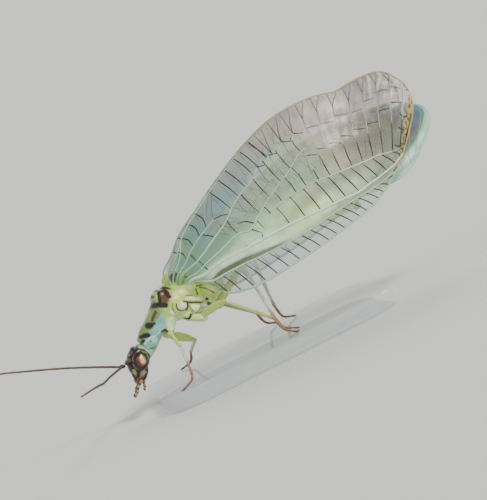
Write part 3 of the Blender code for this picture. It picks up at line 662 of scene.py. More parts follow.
TURQUOISE = (0.17, 0.44, 0.40)
DARK_GREEN = (0.035, 0.075, 0.020)
TRUNK_MARKS = (
    ((0.36, 0.64, 0.58), 0.22, (-0.84, 0.40, 2.24), (-0.56, 0.44, 2.20)),
    (BLACK, 0.070, (-1.06, 0.36, 2.42), (-0.98, 0.38, 2.46)),
    (BLACK, 0.090, (-1.02, 0.42, 2.65), (-0.86, 0.46, 2.65), (-0.68, 0.50, 2.59)),
    (BLACK, 0.115, (-0.84, 0.46, 2.65), (-0.74, 0.46, 2.61)),
    (BLACK, 0.150, (-0.50, 0.48, 2.98), (-0.42, 0.48, 2.96)),
    (BLACK, 0.055, (-0.36, 0.50, 2.97), (-0.20, 0.54, 2.96)),
    ((0.10, 0.052, 0.018), 0.070, (-0.24, 0.46, 3.12), (-0.06, 0.46, 3.30), (0.07, 0.50, 3.41)),
    ((0.07, 0.16, 0.14), 0.045, (-0.71, 0.52, 2.31), (-0.70, 0.52, 2.30)),
    ((0.06, 0.10, 0.08), 0.034, (-0.86, 0.44, 2.00), (-0.72, 0.44, 1.93), (-0.60, 0.42, 1.93)),
    ((0.70, 0.92, 0.84), 0.027, (-1.00, 0.42, 2.30), (-0.80, 0.5, 2.42), (-0.62, 0.55, 2.47),
     (-0.40, 0.58, 2.42), (-0.20, 0.60, 2.50), (-0.03, 0.60, 2.60), (0.12, 0.62, 2.56)),
    ((0.08, 0.09, 0.07), 0.070, (-0.06, 0.60, 2.50), (0.10, 0.62, 2.49)),
    (BLACK, 0.050, (0.10, 0.80, 2.50), (0.22, 0.84, 2.20)),
    (BLACK, 0.035, (0.20, 0.84, 2.20), (0.40, 0.84, 2.26)),
    ((0.60, 0.80, 0.44), 0.260, (0.44, 0.70, 2.62), (0.66, 0.70, 2.64)),
    ((0.74, 0.84, 0.68), 0.080, (0.72, 0.76, 3.10), (0.80, 0.76, 3.02)),
    ((0.52, 0.56, 0.24), 0.120, (0.78, 0.70, 3.60), (0.84, 0.70, 3.52)),
    ((0.12, 0.058, 0.014), 0.230, (0.72, 0.50, 3.98), (0.66, 0.56, 3.78)),
    ((0.018, 0.008, 0.005), 0.080, (0.60, 0.50, 4.20), (0.50, 0.52, 3.96), (0.42, 0.56, 3.70)),
    ((0.020, 0.007, 0.005), 0.115, (0.80, 0.56, 4.18), (0.90, 0.60, 4.00), (0.93, 0.64, 3.80)),
    (BLACK, 0.125, (0.00, 0.36, 3.74), (0.24, 0.44, 3.68), (0.60, 0.58, 3.50)),
    (BLACK, 0.045, (0.88, 0.48, 4.27), (1.12, 0.52, 4.08)),
    (BLACK, 0.060, (0.22, 0.26, 4.14), (0.28, 0.28, 4.06)),
    ((0.66, 0.44, 0.18), 0.105, (1.10, 0.72, 3.86), (1.12, 0.72, 3.78)),
    ((0.66, 0.64, 0.28), 0.080, (0.98, 0.72, 3.62), (1.02, 0.72, 3.52)),
    ((0.050, 0.018, 0.010), 0.085, (1.60, 0.46, 4.75), (1.80, 0.50, 4.74), (1.94, 0.54, 4.66)),
    ((0.12, 0.050, 0.030), 0.130, (1.58, 0.52, 4.62), (1.64, 0.54, 4.56)),
    ((0.014, 0.016, 0.024), 0.150, (1.44, 0.50, 4.52), (1.42, 0.54, 4.42)),
    ((0.030, 0.012, 0.008), 0.060, (1.95, 0.60, 4.40), (2.02, 0.60, 4.14)),
    (BLACK, 0.050, (2.50, 0.40, 4.36), (2.72, 0.44, 4.28)),
    (CREAM, 0.215, (1.20, 0.92, 3.17), (1.28, 0.92, 3.12)),
    # A painted highlight on the upper right of the pearly oval.
    ((0.90, 0.94, 0.84), 0.090, (1.32, 0.94, 3.16), (1.34, 0.94, 3.14)),
    ((0.94, 0.94, 0.50), 0.110, (1.62, 0.93, 3.34), (1.90, 0.93, 3.18), (2.16, 0.91, 3.06)),
    ((0.92, 0.94, 0.44), 0.180, (1.68, 0.93, 2.85), (1.88, 0.93, 2.74)),
    (BLACK, 0.034, (1.06, 1.0, 3.36), (1.00, 1.0, 3.22), (1.01, 1.0, 3.08), (1.10, 1.0, 2.98),
     (1.24, 1.0, 2.93), (1.40, 1.0, 2.95)),
    (BLACK, 0.045, (1.38, 0.92, 2.90), (1.48, 0.92, 3.02), (1.54, 0.93, 3.18)),
    ((0.050, 0.018, 0.008), 0.042, (1.40, 0.93, 3.31), (1.66, 0.93, 3.14), (1.90, 0.93, 3.03),
     (2.20, 0.92, 2.85)),
    ((0.80, 0.84, 0.74), 0.100, (2.16, 0.88, 2.76), (2.24, 0.88, 2.62)),
    # Painted shade: grey in the hollow beside the hind hip.
    ((0.10, 0.10, 0.09), 0.085, (2.40, 0.84, 2.72), (2.50, 0.82, 2.62)),
    (BLACK, 0.062, (2.43, 0.88, 2.95), (2.46, 0.88, 2.91)),
    (BLACK, 0.055, (1.46, 0.85, 2.64), (1.38, 0.82, 2.52), (1.28, 0.80, 2.47)),
    (BLACK, 0.040, (1.28, 0.80, 2.47), (1.12, 0.80, 2.60)),
    ((0.78, 0.82, 0.34), 0.200, (2.76, 0.78, 3.34), (2.88, 0.76, 3.18)),
    ((0.10, 0.11, 0.04), 0.040, (2.16, 0.90, 3.58), (2.12, 0.91, 3.32)),
    (THIN_SEAM, 0.036, (2.36, 0.90, 3.58), (2.62, 0.88, 3.36), (2.90, 0.84, 2.98)),
    (THIN_SEAM, 0.036, (2.24, 0.90, 3.68), (2.50, 0.88, 3.62)),
    (THIN_SEAM, 0.036, (1.62, 0.90, 3.50), (1.86, 0.90, 3.40)),
    ((0.14, 0.18, 0.05), 0.026, (1.56, 0.93, 3.02), (1.60, 0.93, 2.72), (1.50, 0.90, 2.56)),
    ((0.12, 0.16, 0.04), 0.026, (2.10, 0.90, 2.98), (2.06, 0.90, 2.76), (1.84, 0.90, 2.62)),
    ((0.16, 0.20, 0.06), 0.026, (0.92, 0.80, 3.44), (0.80, 0.78, 3.26), (0.84, 0.78, 2.96)),
    ((0.84, 0.98, 0.44), 0.120, (1.20, 0.90, 3.78), (1.66, 0.92, 3.86), (1.96, 0.92, 3.80)),
    ((0.84, 0.88, 0.78), 0.090, (1.96, 0.72, 2.16), (1.98, 0.72, 2.12)),
)


def trunk_colours(points):
    """Turquoise fore sides under a green back, yellow-green thorax, then the dark marks and cream plates,
    with a painted highlight on the pearly oval and painted shade in a hollow beside the hind hip.
    """
    side = np.abs(points[:, 1])
    upward = points @ np.array((-0.553, 0.0, 0.833)) - 2.43
    fore = ease((0.48 - points[:, 0]) / 0.40)
    mottle = 0.5 + 0.5 * ripple(points, 5.0, 3)
    tint = mix((0.50, 0.70, 0.10), (0.62, 0.78, 0.28), ease((3.4 - points[:, 2]) / 0.8))
    tint = mix(tint, (0.80, 0.96, 0.26), near(points, (1.5, 0.0, 3.78), (0.80, 2.0, 0.38), 0.5))
    tint = mix(tint, TURQUOISE, fore)
    tint = mix(tint, (0.30, 0.56, 0.52), fore * 0.6 * mottle)
    tint = mix(tint, (0.15, 0.25, 0.065), fore * ease((upward - 0.10) / 0.10))
    tint = mix(tint, (0.26, 0.38, 0.13), fore * ease((upward - 0.10) / 0.10) * mottle * 0.6)
    tint = mix(tint, (0.46, 0.64, 0.44),
               ease((-0.66 - points[:, 0]) / 0.20) * ease((2.02 - points[:, 2]) / 0.15))
    tint = mix(tint, (0.46, 0.62, 0.34), fore * ease((-0.40 - upward) / 0.10))
    tint = mix(tint, (0.30, 0.36, 0.11), near(points, (1.3, 0.0, 4.45), (2.4, 0.9, 0.55), 0.6) * 0.55)
    line = (1.0 - ease((side - 0.10) / 0.08)) * ease((points[:, 2] - 3.55) / 0.3) * (1.0 - fore)
    tint = mix(tint, (0.62, 0.70, 0.22), line)
    return painted(tint, points, TRUNK_MARKS)


# Abdomen

ABDOMEN_FROM, ABDOMEN_TO, ABDOMEN_ARCH = (3.16, 3.66), (10.86, 3.98), 0.36
SEGMENTS = 9


def abdomen_grid(rows, sides):
    """Rings along an arched line, point + r cos(a) sideways + r sin(a) upward, with a radius that swells over
    each of nine segments, steps down at its hind rim and folds in at its sides."""
    share = np.linspace(0.0, 1.0, rows)
    (x_from, z_from), (x_to, z_to) = ABDOMEN_FROM, ABDOMEN_TO
    x = x_from + share * (x_to - x_from)
    z = z_from + share * (z_to - z_from) + ABDOMEN_ARCH * np.sin(math.pi * share)
    phase = (share * SEGMENTS) % 1.0
    girth = 0.62 + 0.38 * ease(share * 7.0)
    girth *= 1.0 - 0.14 * share**2
    girth *= np.sqrt(np.clip(1.0 - ((share - 0.93) / 0.07).clip(0, 1) ** 2, 0.0, 1.0))
    swell = 1.0 + 0.05 * np.sin(math.pi * phase) + 0.030 * ease((phase - 0.55) / 0.35) * (phase < 0.985)
    turn = np.linspace(0.0, 2 * math.pi, sides, endpoint=False)
    fold = 1.0 - 0.09 * np.exp(-((np.abs(np.sin(turn) + 0.18) / 0.13) ** 2))
    radius = girth[:, None] * swell[:, None] * fold[None, :]
    centre = np.column_stack([x, 0 * x, z])
    tangent = unit(np.gradient(centre, axis=0))
    up = np.column_stack([-tangent[:, 2], 0 * x, tangent[:, 0]])
    grid = centre[:, None] + 0.50 * (radius * np.cos(turn))[:, :, None] * np.array((0.0, 1.0, 0.0))
    grid = grid + 0.52 * (radius * np.sin(turn))[:, :, None] * up[:, None]
    share, phase = (np.r_[values[:1], values, values[-1:]] for values in (share, phase))
    return pointed(grid, centre), share, phase, turn


def abdomen_colours(grid, share, phase, turn):
    """Pale yellow line on the back, green sides, painted shade along the lower flank drawn as a dark band
    that breaks into spots, pale belly.
    """
    height = np.sin(turn)[None, :] + 0 * share[:, None]
    noise = ripple(grid, 4.0, 5)
    tint = mix((0.84, 0.96, 0.42), (0.96, 1.0, 0.62), ease((height - 0.50) / 0.35))
    tint = mix(tint, (0.78, 0.84, 0.44), ease((-0.35 - height) / 0.3))
    # Painted shade under the flank, drawn as a dark band that breaks into spots.
    painted_shade_stripe = 1.0 - ease((np.abs(height + 0.26) - 0.13) / 0.10)
    breaks = ease((np.abs(phase - 0.45) - 0.10) / 0.2)[:, None] * ease((share - 0.35) / 0.25)[:, None]
    tint = mix(tint, (0.030, 0.040, 0.020), np.clip(painted_shade_stripe * (1.0 - 0.85 * breaks), 0, 1) * 0.55)
    return mix(tint, (0.30, 0.44, 0.16), (ease((0.05 - phase) / 0.05) * 0.5)[:, None] + 0.1 * noise)


# Wings

FOREWING = (  # share of length, front edge, hind edge, outward bulge between them
    (-0.07, (2.20, -0.80, 3.86), (1.48, -0.76, 4.08), 0.00),
    (-0.04, (2.44, -1.10, 3.84), (1.16, -0.86, 4.26), 0.02),
    (0.00, (2.76, -1.50, 3.60), (1.30, -0.98, 4.72), 0.10),
    (0.07, (3.26, -1.90, 2.92), (1.98, -1.00, 5.30), 0.26),
    (0.15, (4.05, -2.28, 2.68), (2.66, -0.74, 6.00), 0.42),
    (0.26, (5.30, -2.48, 2.66), (3.85, -0.42, 6.76), 0.46),
    (0.38, (6.75, -2.54, 2.81), (5.32, -0.38, 7.60), 0.44),
    (0.51, (8.35, -2.52, 3.02), (7.17, -0.36, 8.50), 0.45),
    (0.64, (9.80, -2.40, 3.29), (9.14, -0.36, 9.10), 0.45),
    (0.76, (11.10, -2.14, 3.57), (11.20, -0.36, 9.12), 0.42),
    (0.815, (11.64, -2.00, 3.79), (12.24, -0.39, 8.90), 0.44),
    (0.86, (12.10, -1.86, 4.01), (13.06, -0.42, 8.98), 0.46),
    (0.94, (13.10, -1.60, 4.70), (14.34, -0.52, 8.84), 0.46),
    (1.00, (13.72, -1.34, 5.22), (15.02, -0.64, 8.20), 0.40),
)
HINDWING = (
    (-0.07, (3.10, -0.70, 3.90), (2.72, -0.66, 4.20), 0.00),
    (-0.03, (3.40, -0.84, 3.92), (3.10, -0.78, 4.30), 0.00),
    (0.00, (3.80, -0.96, 3.90), (3.58, -0.88, 4.44), 0.00),
    (0.10, (4.40, -1.04, 4.06), (3.82, -0.70, 4.96), 0.02),
    (0.25, (5.90, -1.20, 4.10), (4.75, -0.46, 5.70), 0.06),
    (0.40, (7.80, -1.32, 4.12), (6.50, -0.40, 6.60), 0.08),
    (0.55, (9.90, -1.30, 4.08), (8.70, -0.38, 7.28), 0.08),
    (0.70, (11.90, -1.00, 3.98), (11.00, -0.36, 7.52), 0.06),
    (0.84, (13.30, -0.70, 4.01), (13.20, -0.36, 7.46), 0.04),
    (0.93, (14.00, -0.58, 4.31), (14.40, -0.36, 7.26), 0.02),
    (1.00, (14.62, -0.50, 4.72), (15.24, -0.36, 6.86), 0.00),
)
# Long veins: share along, share across, from the root outwards
FORE_VEINS = {
    "front": ((-0.07, 0.0), (0.10, 0.0), (0.30, 0.0), (0.60, 0.0), (1.00, 0.0)),
    "sub": ((-0.07, 0.24), (0.06, 0.310), (0.123, 0.318), (0.209, 0.292), (0.295, 0.240), (0.364, 0.201),
            (0.43, 0.176), (0.50, 0.157), (0.60, 0.143), (0.70, 0.130), (0.77, 0.112), (0.83, 0.085),
            (0.90, 0.040)),
    "radius": ((-0.07, 0.36), (0.06, 0.47), (0.17, 0.465), (0.25, 0.411), (0.34, 0.355), (0.427, 0.308),
               (0.50, 0.264), (0.58, 0.220), (0.66, 0.184), (0.72, 0.161), (0.78, 0.157), (0.858, 0.126),
               (0.92, 0.066), (0.985, 0.020)),
    "sector": ((0.14, 0.47), (0.26, 0.425), (0.36, 0.405), (0.43, 0.472), (0.48, 0.482), (0.53, 0.455),
               (0.59, 0.434), (0.64, 0.402), (0.69, 0.378), (0.76, 0.350), (0.83, 0.320), (0.88, 0.250),
               (0.93, 0.160), (0.985, 0.085)),
    "middle": ((-0.07, 0.48), (0.08, 0.58), (0.20, 0.56), (0.29, 0.555), (0.335, 0.495), (0.393, 0.540),
               (0.463, 0.578), (0.530, 0.604), (0.568, 0.625), (0.606, 0.659), (0.635, 0.676)),
    "cubitus": ((-0.07, 0.60), (0.06, 0.719), (0.11, 0.689), (0.158, 0.679), (0.214, 0.696), (0.30, 0.716),
                (0.345, 0.754), (0.40, 0.772), (0.45, 0.772), (0.488, 0.812), (0.56, 0.800), (0.66, 0.800)),
    "anal": ((-0.07, 0.72), (0.03, 0.80), (0.086, 0.828), (0.15, 0.826), (0.22, 0.823), (0.271, 0.819)),
    "last": ((-0.07, 0.84), (0.03, 0.90), (0.08, 0.95), (0.13, 1.0)),
}
HIND_VEINS = {
    "front": ((-0.07, 0.0), (0.10, 0.0), (0.30, 0.0), (0.60, 0.0), (1.00, 0.0)),
    "sub": ((-0.07, 0.12), (0.20, 0.10), (0.45, 0.08), (0.66, 0.06), (0.80, 0.02)),
    "radius": ((-0.07, 0.22), (0.20, 0.20), (0.45, 0.15), (0.66, 0.12), (0.84, 0.09), (0.97, 0.05)),
    "sector": ((0.10, 0.24), (0.25, 0.34), (0.45, 0.32), (0.65, 0.28), (0.82, 0.24), (0.98, 0.14)),
    "middle": ((-0.07, 0.40), (0.15, 0.46), (0.35, 0.52), (0.55, 0.56), (0.70, 0.56)),
    "cubitus": ((-0.07, 0.60), (0.15, 0.66), (0.35, 0.76), (0.55, 0.80), (0.68, 0.80)),
    "anal": ((-0.07, 0.80), (0.10, 0.86), (0.22, 1.0)),
}
STAIR_FEET = (0.488, 0.539, 0.598, 0.641)  # where each step of the cubitus begins, at its outer level
STAIR_STEP, STAIR_OUTER, STAIR_INNER = 0.027, 0.815, 0.776
FORE_TIP_BOW, HIND_TIP_BOW = 0.50, 0.68
CORNER_ROUNDING = 0.034

ROOT_VEIN = (0.24, 0.54, 0.22)
PALE_VEIN = (0.42, 0.70, 0.46)
PALE_SIDE = (0.40, 0.62, 0.46)
CREAM_VEIN = (0.80, 0.66, 0.50)
DARK_VEIN = (0.008, 0.009, 0.008)
APEX_VEIN = (0.42, 0.30, 0.12)
OLIVE_VEIN = (0.13, 0.12, 0.07)
HIND_CROSS = (0.055, 0.075, 0.055)
VEIN_STEP = 0.12


class Wing:
    """One wing: a patch between a front and a hind edge, bulging outwards, with a bowed and rounded tip.

    A point is front + (hind - front) * across, moved out by bulge * sin(pi across) and back at the tip."""

    def __init__(self, table, bow, veins, side):
        self.knots = [row[0] for row in table]
        self.values = [(*row[1], *row[2], row[3]) for row in table]
        self.bow, self.side = bow, side
        self.veins = {name: np.array(line) for name, line in veins.items()}

    def place(self, along, across):
        along, across = np.broadcast_arrays(np.asarray(along, float), np.asarray(across, float))
        flat_along, flat_across = along.ravel(), across.ravel()
        corner = np.clip(flat_along, 0, 1) ** 12 * np.abs(2 * flat_across - 1) ** 12
        edges = through(self.knots, self.values, flat_along - CORNER_ROUNDING * corner)
        points = edges[:, :3] + (edges[:, 3:6] - edges[:, :3]) * flat_across[:, None]
        points[:, 1] -= edges[:, 6] * np.sin(math.pi * flat_across)
        bow = self.bow * np.clip(flat_along, 0, 1) ** 5 * np.sin(math.pi * np.clip(flat_across, 0, 1) ** 1.15)
        points[:, 0] += bow
        points[:, 2] += 0.12 * bow
        points[:, 1] *= -self.side
        return points.reshape(*along.shape, 3)

    def outward(self, along, across):
        """The unit normal that points away from the body, from small steps both ways."""
        step = 0.004
        lengthwise = self.place(along + step, across) - self.place(along - step, across)
        crosswise = self.place(along, across + step) - self.place(along, across - step)
        normal = unit(np.cross(lengthwise, crosswise))
        return normal * np.sign(normal[..., 1:2]) * self.side

    def at(self, name, along):
        """How far across a long vein lies at shares of the length: 0 in front, 1 at the hind edge."""
        if name in ("front", "hind"):
            return np.full(np.shape(along), float(name == "hind"))
        line = self.veins[name]
        return through(line[:, 0], line[:, 1:], along)[:, 0]


def vein_rod(shape, wing, line, radii, tint):
    """A round vein along a line of shares on the wing, with radii and colours from its root to its end."""
    line = np.asarray(line, float)
    count = max(4, int(path_length(wing.place(*line.T)) / VEIN_STEP))
    path = along_curve(line, count)
    share = np.linspace(0.0, 1.0, count)
    radii = np.interp(share, np.linspace(0, 1, len(radii)), radii)
    grid = rod(wing.place(*path.T), radii, 6, wing.outward(*path.T))
    tint = np.atleast_2d(tint)
    tints = through(np.linspace(0, 1, len(tint)), tint, share) if len(tint) > 1 else tint.repeat(count, 0)
    shape.grid(grid, ringed(tints.clip(0.0), grid.shape[1]))


def vein_family(shape, wing, lower, upper, starts, ends, radius, tint, bend=0.0):
    """Cross-veins from shares of one long vein to shares of another, thickest in the middle and bowed along
    the wing by the bend."""
    lows, highs = wing.at(lower, starts), wing.at(upper, ends)
    for start, low, end, high in zip(starts, lows, ends, highs):
        middle = ((start + end) / 2 + bend, (low + high) / 2)
        vein_rod(shape, wing, ((start, low), middle, (end, high)), (0.8 * radius, radius, 0.9 * radius), tint)


def forewing_veins(shape, wing):
    """Pale long veins, the stepped cubitus, and the black cross-veins of each field."""
    for name, radii, tint in (
        ("front", (0.070, 0.046, 0.038), (ROOT_VEIN, PALE_SIDE, PALE_SIDE, (0.44, 0.48, 0.30))),
        ("sub", (0.060, 0.044, 0.040, 0.028), (PALE_VEIN, PALE_SIDE, PALE_SIDE, (0.60, 0.60, 0.42))),
        ("radius", (0.100, 0.072, 0.058, 0.044),
         (PALE_VEIN, (0.60, 0.80, 0.58), (0.70, 0.84, 0.62), CREAM_VEIN)),
        ("sector", (0.030, 0.036, 0.028), (PALE_VEIN, PALE_VEIN, PALE_SIDE, (0.74, 0.74, 0.60),
                                           (0.20, 0.16, 0.09))),
        ("middle", (0.052, 0.036, 0.028), (ROOT_VEIN, PALE_VEIN, PALE_SIDE)),
        ("anal", (0.046, 0.028), (ROOT_VEIN, PALE_SIDE)),
        ("last", (0.034, 0.022), (ROOT_VEIN, PALE_SIDE)),
    ):
        vein_rod(shape, wing, wing.veins[name], radii, tint)
    cubitus = wing.veins["cubitus"]
    lower = cubitus[cubitus[:, 0] < STAIR_FEET[0] + 0.01]
    tints = (ROOT_VEIN, ROOT_VEIN, PALE_VEIN, PALE_SIDE, PALE_SIDE)
    vein_rod(shape, wing, lower, (0.105, 0.070, 0.042, 0.034, 0.030), tints)
    for foot, after in zip(STAIR_FEET, (*STAIR_FEET[1:], 0.675)):
        outer, inner = (foot, STAIR_OUTER), (foot + STAIR_STEP, STAIR_INNER)
        vein_rod(shape, wing, (outer, inner), (0.026, 0.026), DARK_VEIN)
        vein_rod(shape, wing, (inner, (after, STAIR_OUTER)), (0.030, 0.026), PALE_SIDE)

    rim = np.linspace(0.0, 1.0, 60)
    rim_tints = ((0.70, 0.56, 0.36), (0.50, 0.38, 0.14), (0.62, 0.50, 0.34), APEX_VEIN)
    vein_rod(shape, wing, np.column_stack([np.ones(60), rim]), (0.040, 0.036, 0.034), rim_tints)
    hind = np.column_stack([np.linspace(1.0, -0.07, 90), np.ones(90)])
    hind_tints = (APEX_VEIN, (0.46, 0.38, 0.22), (0.34, 0.40, 0.26), PALE_SIDE, (0.14, 0.26, 0.18))
    vein_rod(shape, wing, hind, (0.034, 0.030, 0.030), hind_tints)

    costal = np.cumsum(np.r_[0.077, np.interp(np.arange(20), (0, 5, 8), (0.051, 0.045, 0.037))])
    slant = np.interp(costal, (0.077, 0.30, 0.50, 0.60, 0.80), (0.0, 0.018, 0.035, 0.047, 0.055))
    vein_family(shape, wing, "sub", "front", costal, costal + slant, 0.028, DARK_VEIN, 0.003)
    steps = np.cumsum(np.r_[0.448, np.interp(np.arange(11), (0, 4), (0.056, 0.041))])
    slant = np.interp(steps, (0.50, 0.65, 0.70, 0.85), (-0.003, 0.019, 0.036, 0.060))
    vein_family(shape, wing, "sector", "radius", steps, steps + slant, 0.028, DARK_VEIN, 0.002)
    steps = np.array((0.420, 0.475, 0.531, 0.571))
    vein_family(shape, wing, "sector", "middle", steps, steps, 0.027, DARK_VEIN, 0.003)
    steps = np.array((0.397, 0.456, 0.515, 0.566, 0.625))
    vein_family(shape, wing, "middle", "cubitus", steps, steps, 0.027, DARK_VEIN, -0.002)
    steps = np.array((0.083, 0.145, 0.190, 0.232))
    ends = steps + (0.003, -0.003, 0.011, 0.014)
    vein_family(shape, wing, "anal", "hind", steps, ends, 0.027, DARK_VEIN, 0.010)
    steps = np.array((0.340, 0.387, 0.423, 0.466, 0.492, 0.530))
    vein_family(shape, wing, "cubitus", "hind", steps, steps - 0.008, 0.027, DARK_VEIN, 0.002)
    for line, tint in (
        (((0.204, 0.815), (0.217, 0.753), (0.228, 0.699)), DARK_VEIN),
        (((0.271, 0.819), (0.297, 0.789), (0.322, 0.736)), DARK_VEIN),
        (((0.345, 0.995), (0.300, 0.906), (0.271, 0.819)), OLIVE_VEIN),
        (((0.112, 0.825), (0.108, 0.760), (0.104, 0.695)), DARK_VEIN),
        (((0.112, 0.685), (0.110, 0.600), (0.104, 0.480)), DARK_VEIN),
        (((0.300, 0.712), (0.294, 0.630), (0.292, 0.555)), DARK_VEIN),
        (((0.318, 0.620), (0.338, 0.590), (0.359, 0.515)), DARK_VEIN),
        (((0.338, 0.490), (0.346, 0.448), (0.354, 0.410)), DARK_VEIN),
        (((0.354, 0.405), (0.346, 0.371), (0.338, 0.352)), DARK_VEIN),
        (((0.372, 0.520), (0.372, 0.462), (0.370, 0.415)), OLIVE_VEIN),
        (((0.281, 0.430), (0.284, 0.400), (0.284, 0.385)), DARK_VEIN),
    ):
        vein_rod(shape, wing, line, (0.024, 0.027, 0.022), tint)
    radial_branches(shape, wing)


def radial_branches(shape, wing):
    """Branches of the sector: black where they leave it, pale on the way, forked and olive at the rim.

    Two rows of short dark steps join each branch to the next one."""
    source = np.random.default_rng(SEED + 5)
    shares = np.linspace(0.0, 1.0, 9)
    rows = {0.60: [], 0.77: []}
    starts = np.cumsum(np.r_[0.619, np.full(9, 0.0405)])
    for number, (start, low) in enumerate(zip(starts, wing.at("sector", starts.clip(max=0.98)))):
        high = 0.87 if number else 0.66
        along = start + 0.010 * shares + 0.020 * number**0.3 * shares**2
        line = np.column_stack([along, low + (high - low) * shares])
        vein_rod(shape, wing, line[:4], (0.026, 0.024), (DARK_VEIN, DARK_VEIN, OLIVE_VEIN))
        line = line[line[:, 0] < 0.990]
        if len(line) > 5:
            vein_rod(shape, wing, line[3:], (0.021, 0.019),
                     (PALE_SIDE, (0.38, 0.40, 0.30), (0.17, 0.16, 0.10)))
        for across, found in rows.items():
            if line[-1, 1] > across - 0.01:
                found.append(np.array((np.interp(across, line[:, 1], line[:, 0]), across)))
        if len(line) == 9 and number:
            rim_fork(shape, wing, line[-1], 0.006, 0.030)
    rim_fork(shape, wing, (0.535, 0.812), -0.016, -0.016)
    rim_fork(shape, wing, (0.552, 0.800), -0.004, 0.024)
    for foot in STAIR_FEET[2:]:
        rim_fork(shape, wing, (foot, STAIR_OUTER), 0.004, 0.032)
    for across, found in rows.items():
        for first, second, jump in zip(found[:-1], found[1:], source.uniform(-0.02, 0.02, len(found))):
            fall = 0.020 if across < 0.7 else 0.012
            line = (first + (0.004, jump + fall), (first + second) / 2 + (0.0, jump),
                    second + (-0.008, jump - fall))
            vein_rod(shape, wing, line, (0.022, 0.024, 0.020), DARK_VEIN if across < 0.7 else OLIVE_VEIN)
    for start, across in ((0.935, 0.36), (0.945, 0.48), (0.915, 0.24)):
        line = ((start, across), (start + 0.012, across - 0.045), (start + 0.028, across - 0.075))
        vein_rod(shape, wing, line, (0.024, 0.020), DARK_VEIN)


def rim_fork(shape, wing, foot, near_spread, far_spread):
    """A vein that parts in two between a foot and the hind rim; the spreads are steps along the wing."""
    start, across = foot
    for spread in sorted({near_spread, far_spread}):
        line = (foot, (start + 0.35 * spread, 0.6 * across + 0.4),
                (start + 0.8 * spread, 0.25 * across + 0.75))
        tints = (DARK_VEIN, OLIVE_VEIN) if start < 0.60 else ((0.10, 0.09, 0.06), (0.16, 0.15, 0.10))
        vein_rod(shape, wing, (*line, (min(start + spread, 0.996), 1.0)), (0.022, 0.022, 0.017), tints)


def hindwing_veins(shape, wing):
    """The same plan with thinner, paler veins."""
    for line, radius in zip(wing.veins.values(), (0.030, 0.024, 0.036, 0.018, 0.020, 0.020, 0.018)):
        vein_rod(shape, wing, line, (radius, radius * 0.8, radius * 0.6), PALE_VEIN)
    outer = np.column_stack([np.ones(40), np.linspace(0, 1, 40)])
    hind = np.column_stack([np.linspace(1.0, -0.07, 80), np.ones(80)])
    vein_rod(shape, wing, outer, (0.030, 0.024), (0.62, 0.82, 0.74))
    vein_rod(shape, wing, hind, (0.020, 0.016), (0.46, 0.60, 0.48))
    for lower, upper, first, last, gap, slant in (
        ("sub", "front", 0.05, 0.76, 0.040, 0.020),
        ("radius", "sector", 0.18, 0.95, 0.055, -0.008),
        ("sector", "middle", 0.20, 0.68, 0.060, -0.006),
        ("middle", "cubitus", 0.22, 0.68, 0.060, -0.006),
        ("cubitus", "hind", 0.16, 0.67, 0.042, -0.010),
    ):
        steps = np.arange(first, last, gap)
        vein_family(shape, wing, lower, upper, steps, steps + slant, 0.015, HIND_CROSS, 0.003)
    steps = np.arange(0.62, 0.96, 0.045)
    for start, low in zip(steps, wing.at("sector", steps)):
        end = min(1.0, start + 0.08)
        line = ((start, low), (start + 0.4 * (end - start), low + 0.35), (end, 1.0))
        vein_rod(shape, wing, line, (0.015, 0.012), (0.34, 0.46, 0.38))


FORE_ZONES = (  # centre along and across, radii, colour, strength, added opacity
    (0.02, 0.46, 0.07, 0.26, (0.50, 0.72, 0.22), 0.90, 0.34),
    (0.12, 0.80, 0.20, 0.32, (0.07, 0.14, 0.06), 0.85, 0.26),
    (0.30, 0.88, 0.14, 0.16, (0.17, 0.19, 0.30), 0.80, 0.16),
    (0.46, 0.88, 0.14, 0.12, (0.15, 0.23, 0.36), 0.80, 0.16),
    (0.44, 0.66, 0.16, 0.10, (0.36, 0.36, 0.27), 0.60, 0.00),
    (0.56, 0.58, 0.12, 0.12, (0.28, 0.38, 0.33), 0.60, 0.02),
    (0.26, 0.42, 0.30, 0.12, (0.50, 0.72, 0.40), 0.70, 0.14),
    (0.38, 0.42, 0.20, 0.09, (0.66, 0.90, 0.52), 0.80, 0.20),
    (0.56, 0.24, 0.22, 0.075, (0.90, 1.0, 0.58), 0.95, 0.40),
    # A whitish patch of painted reflection near the tip.
    (0.68, 0.72, 0.14, 0.16, (0.54, 0.50, 0.42), 0.70, 0.14),
    (0.74, 0.97, 0.28, 0.16, (0.42, 0.40, 0.32), 0.75, 0.38),
    (0.82, 0.80, 0.12, 0.22, (0.48, 0.42, 0.32), 0.70, 0.10),
    (0.82, 0.50, 0.13, 0.18, (0.16, 0.17, 0.11), 0.75, 0.20),
    (0.97, 0.86, 0.06, 0.20, (0.54, 0.46, 0.32), 0.80, 0.16),
    (0.76, 0.26, 0.12, 0.10, (0.50, 0.56, 0.50), 0.60, 0.06),
    (0.60, 0.40, 0.07, 0.07, (0.60, 0.50, 0.42), 0.60, 0.10),
    (0.70, 0.44, 0.05, 0.10, (0.64, 0.54, 0.46), 0.60, 0.14),
)
HIND_ZONES = (
    (0.30, 0.40, 0.40, 0.60, (0.40, 0.56, 0.40), 0.50, 0.00),
    (0.92, 0.58, 0.15, 0.62, (0.045, 0.12, 0.10), 0.95, 0.50),
)


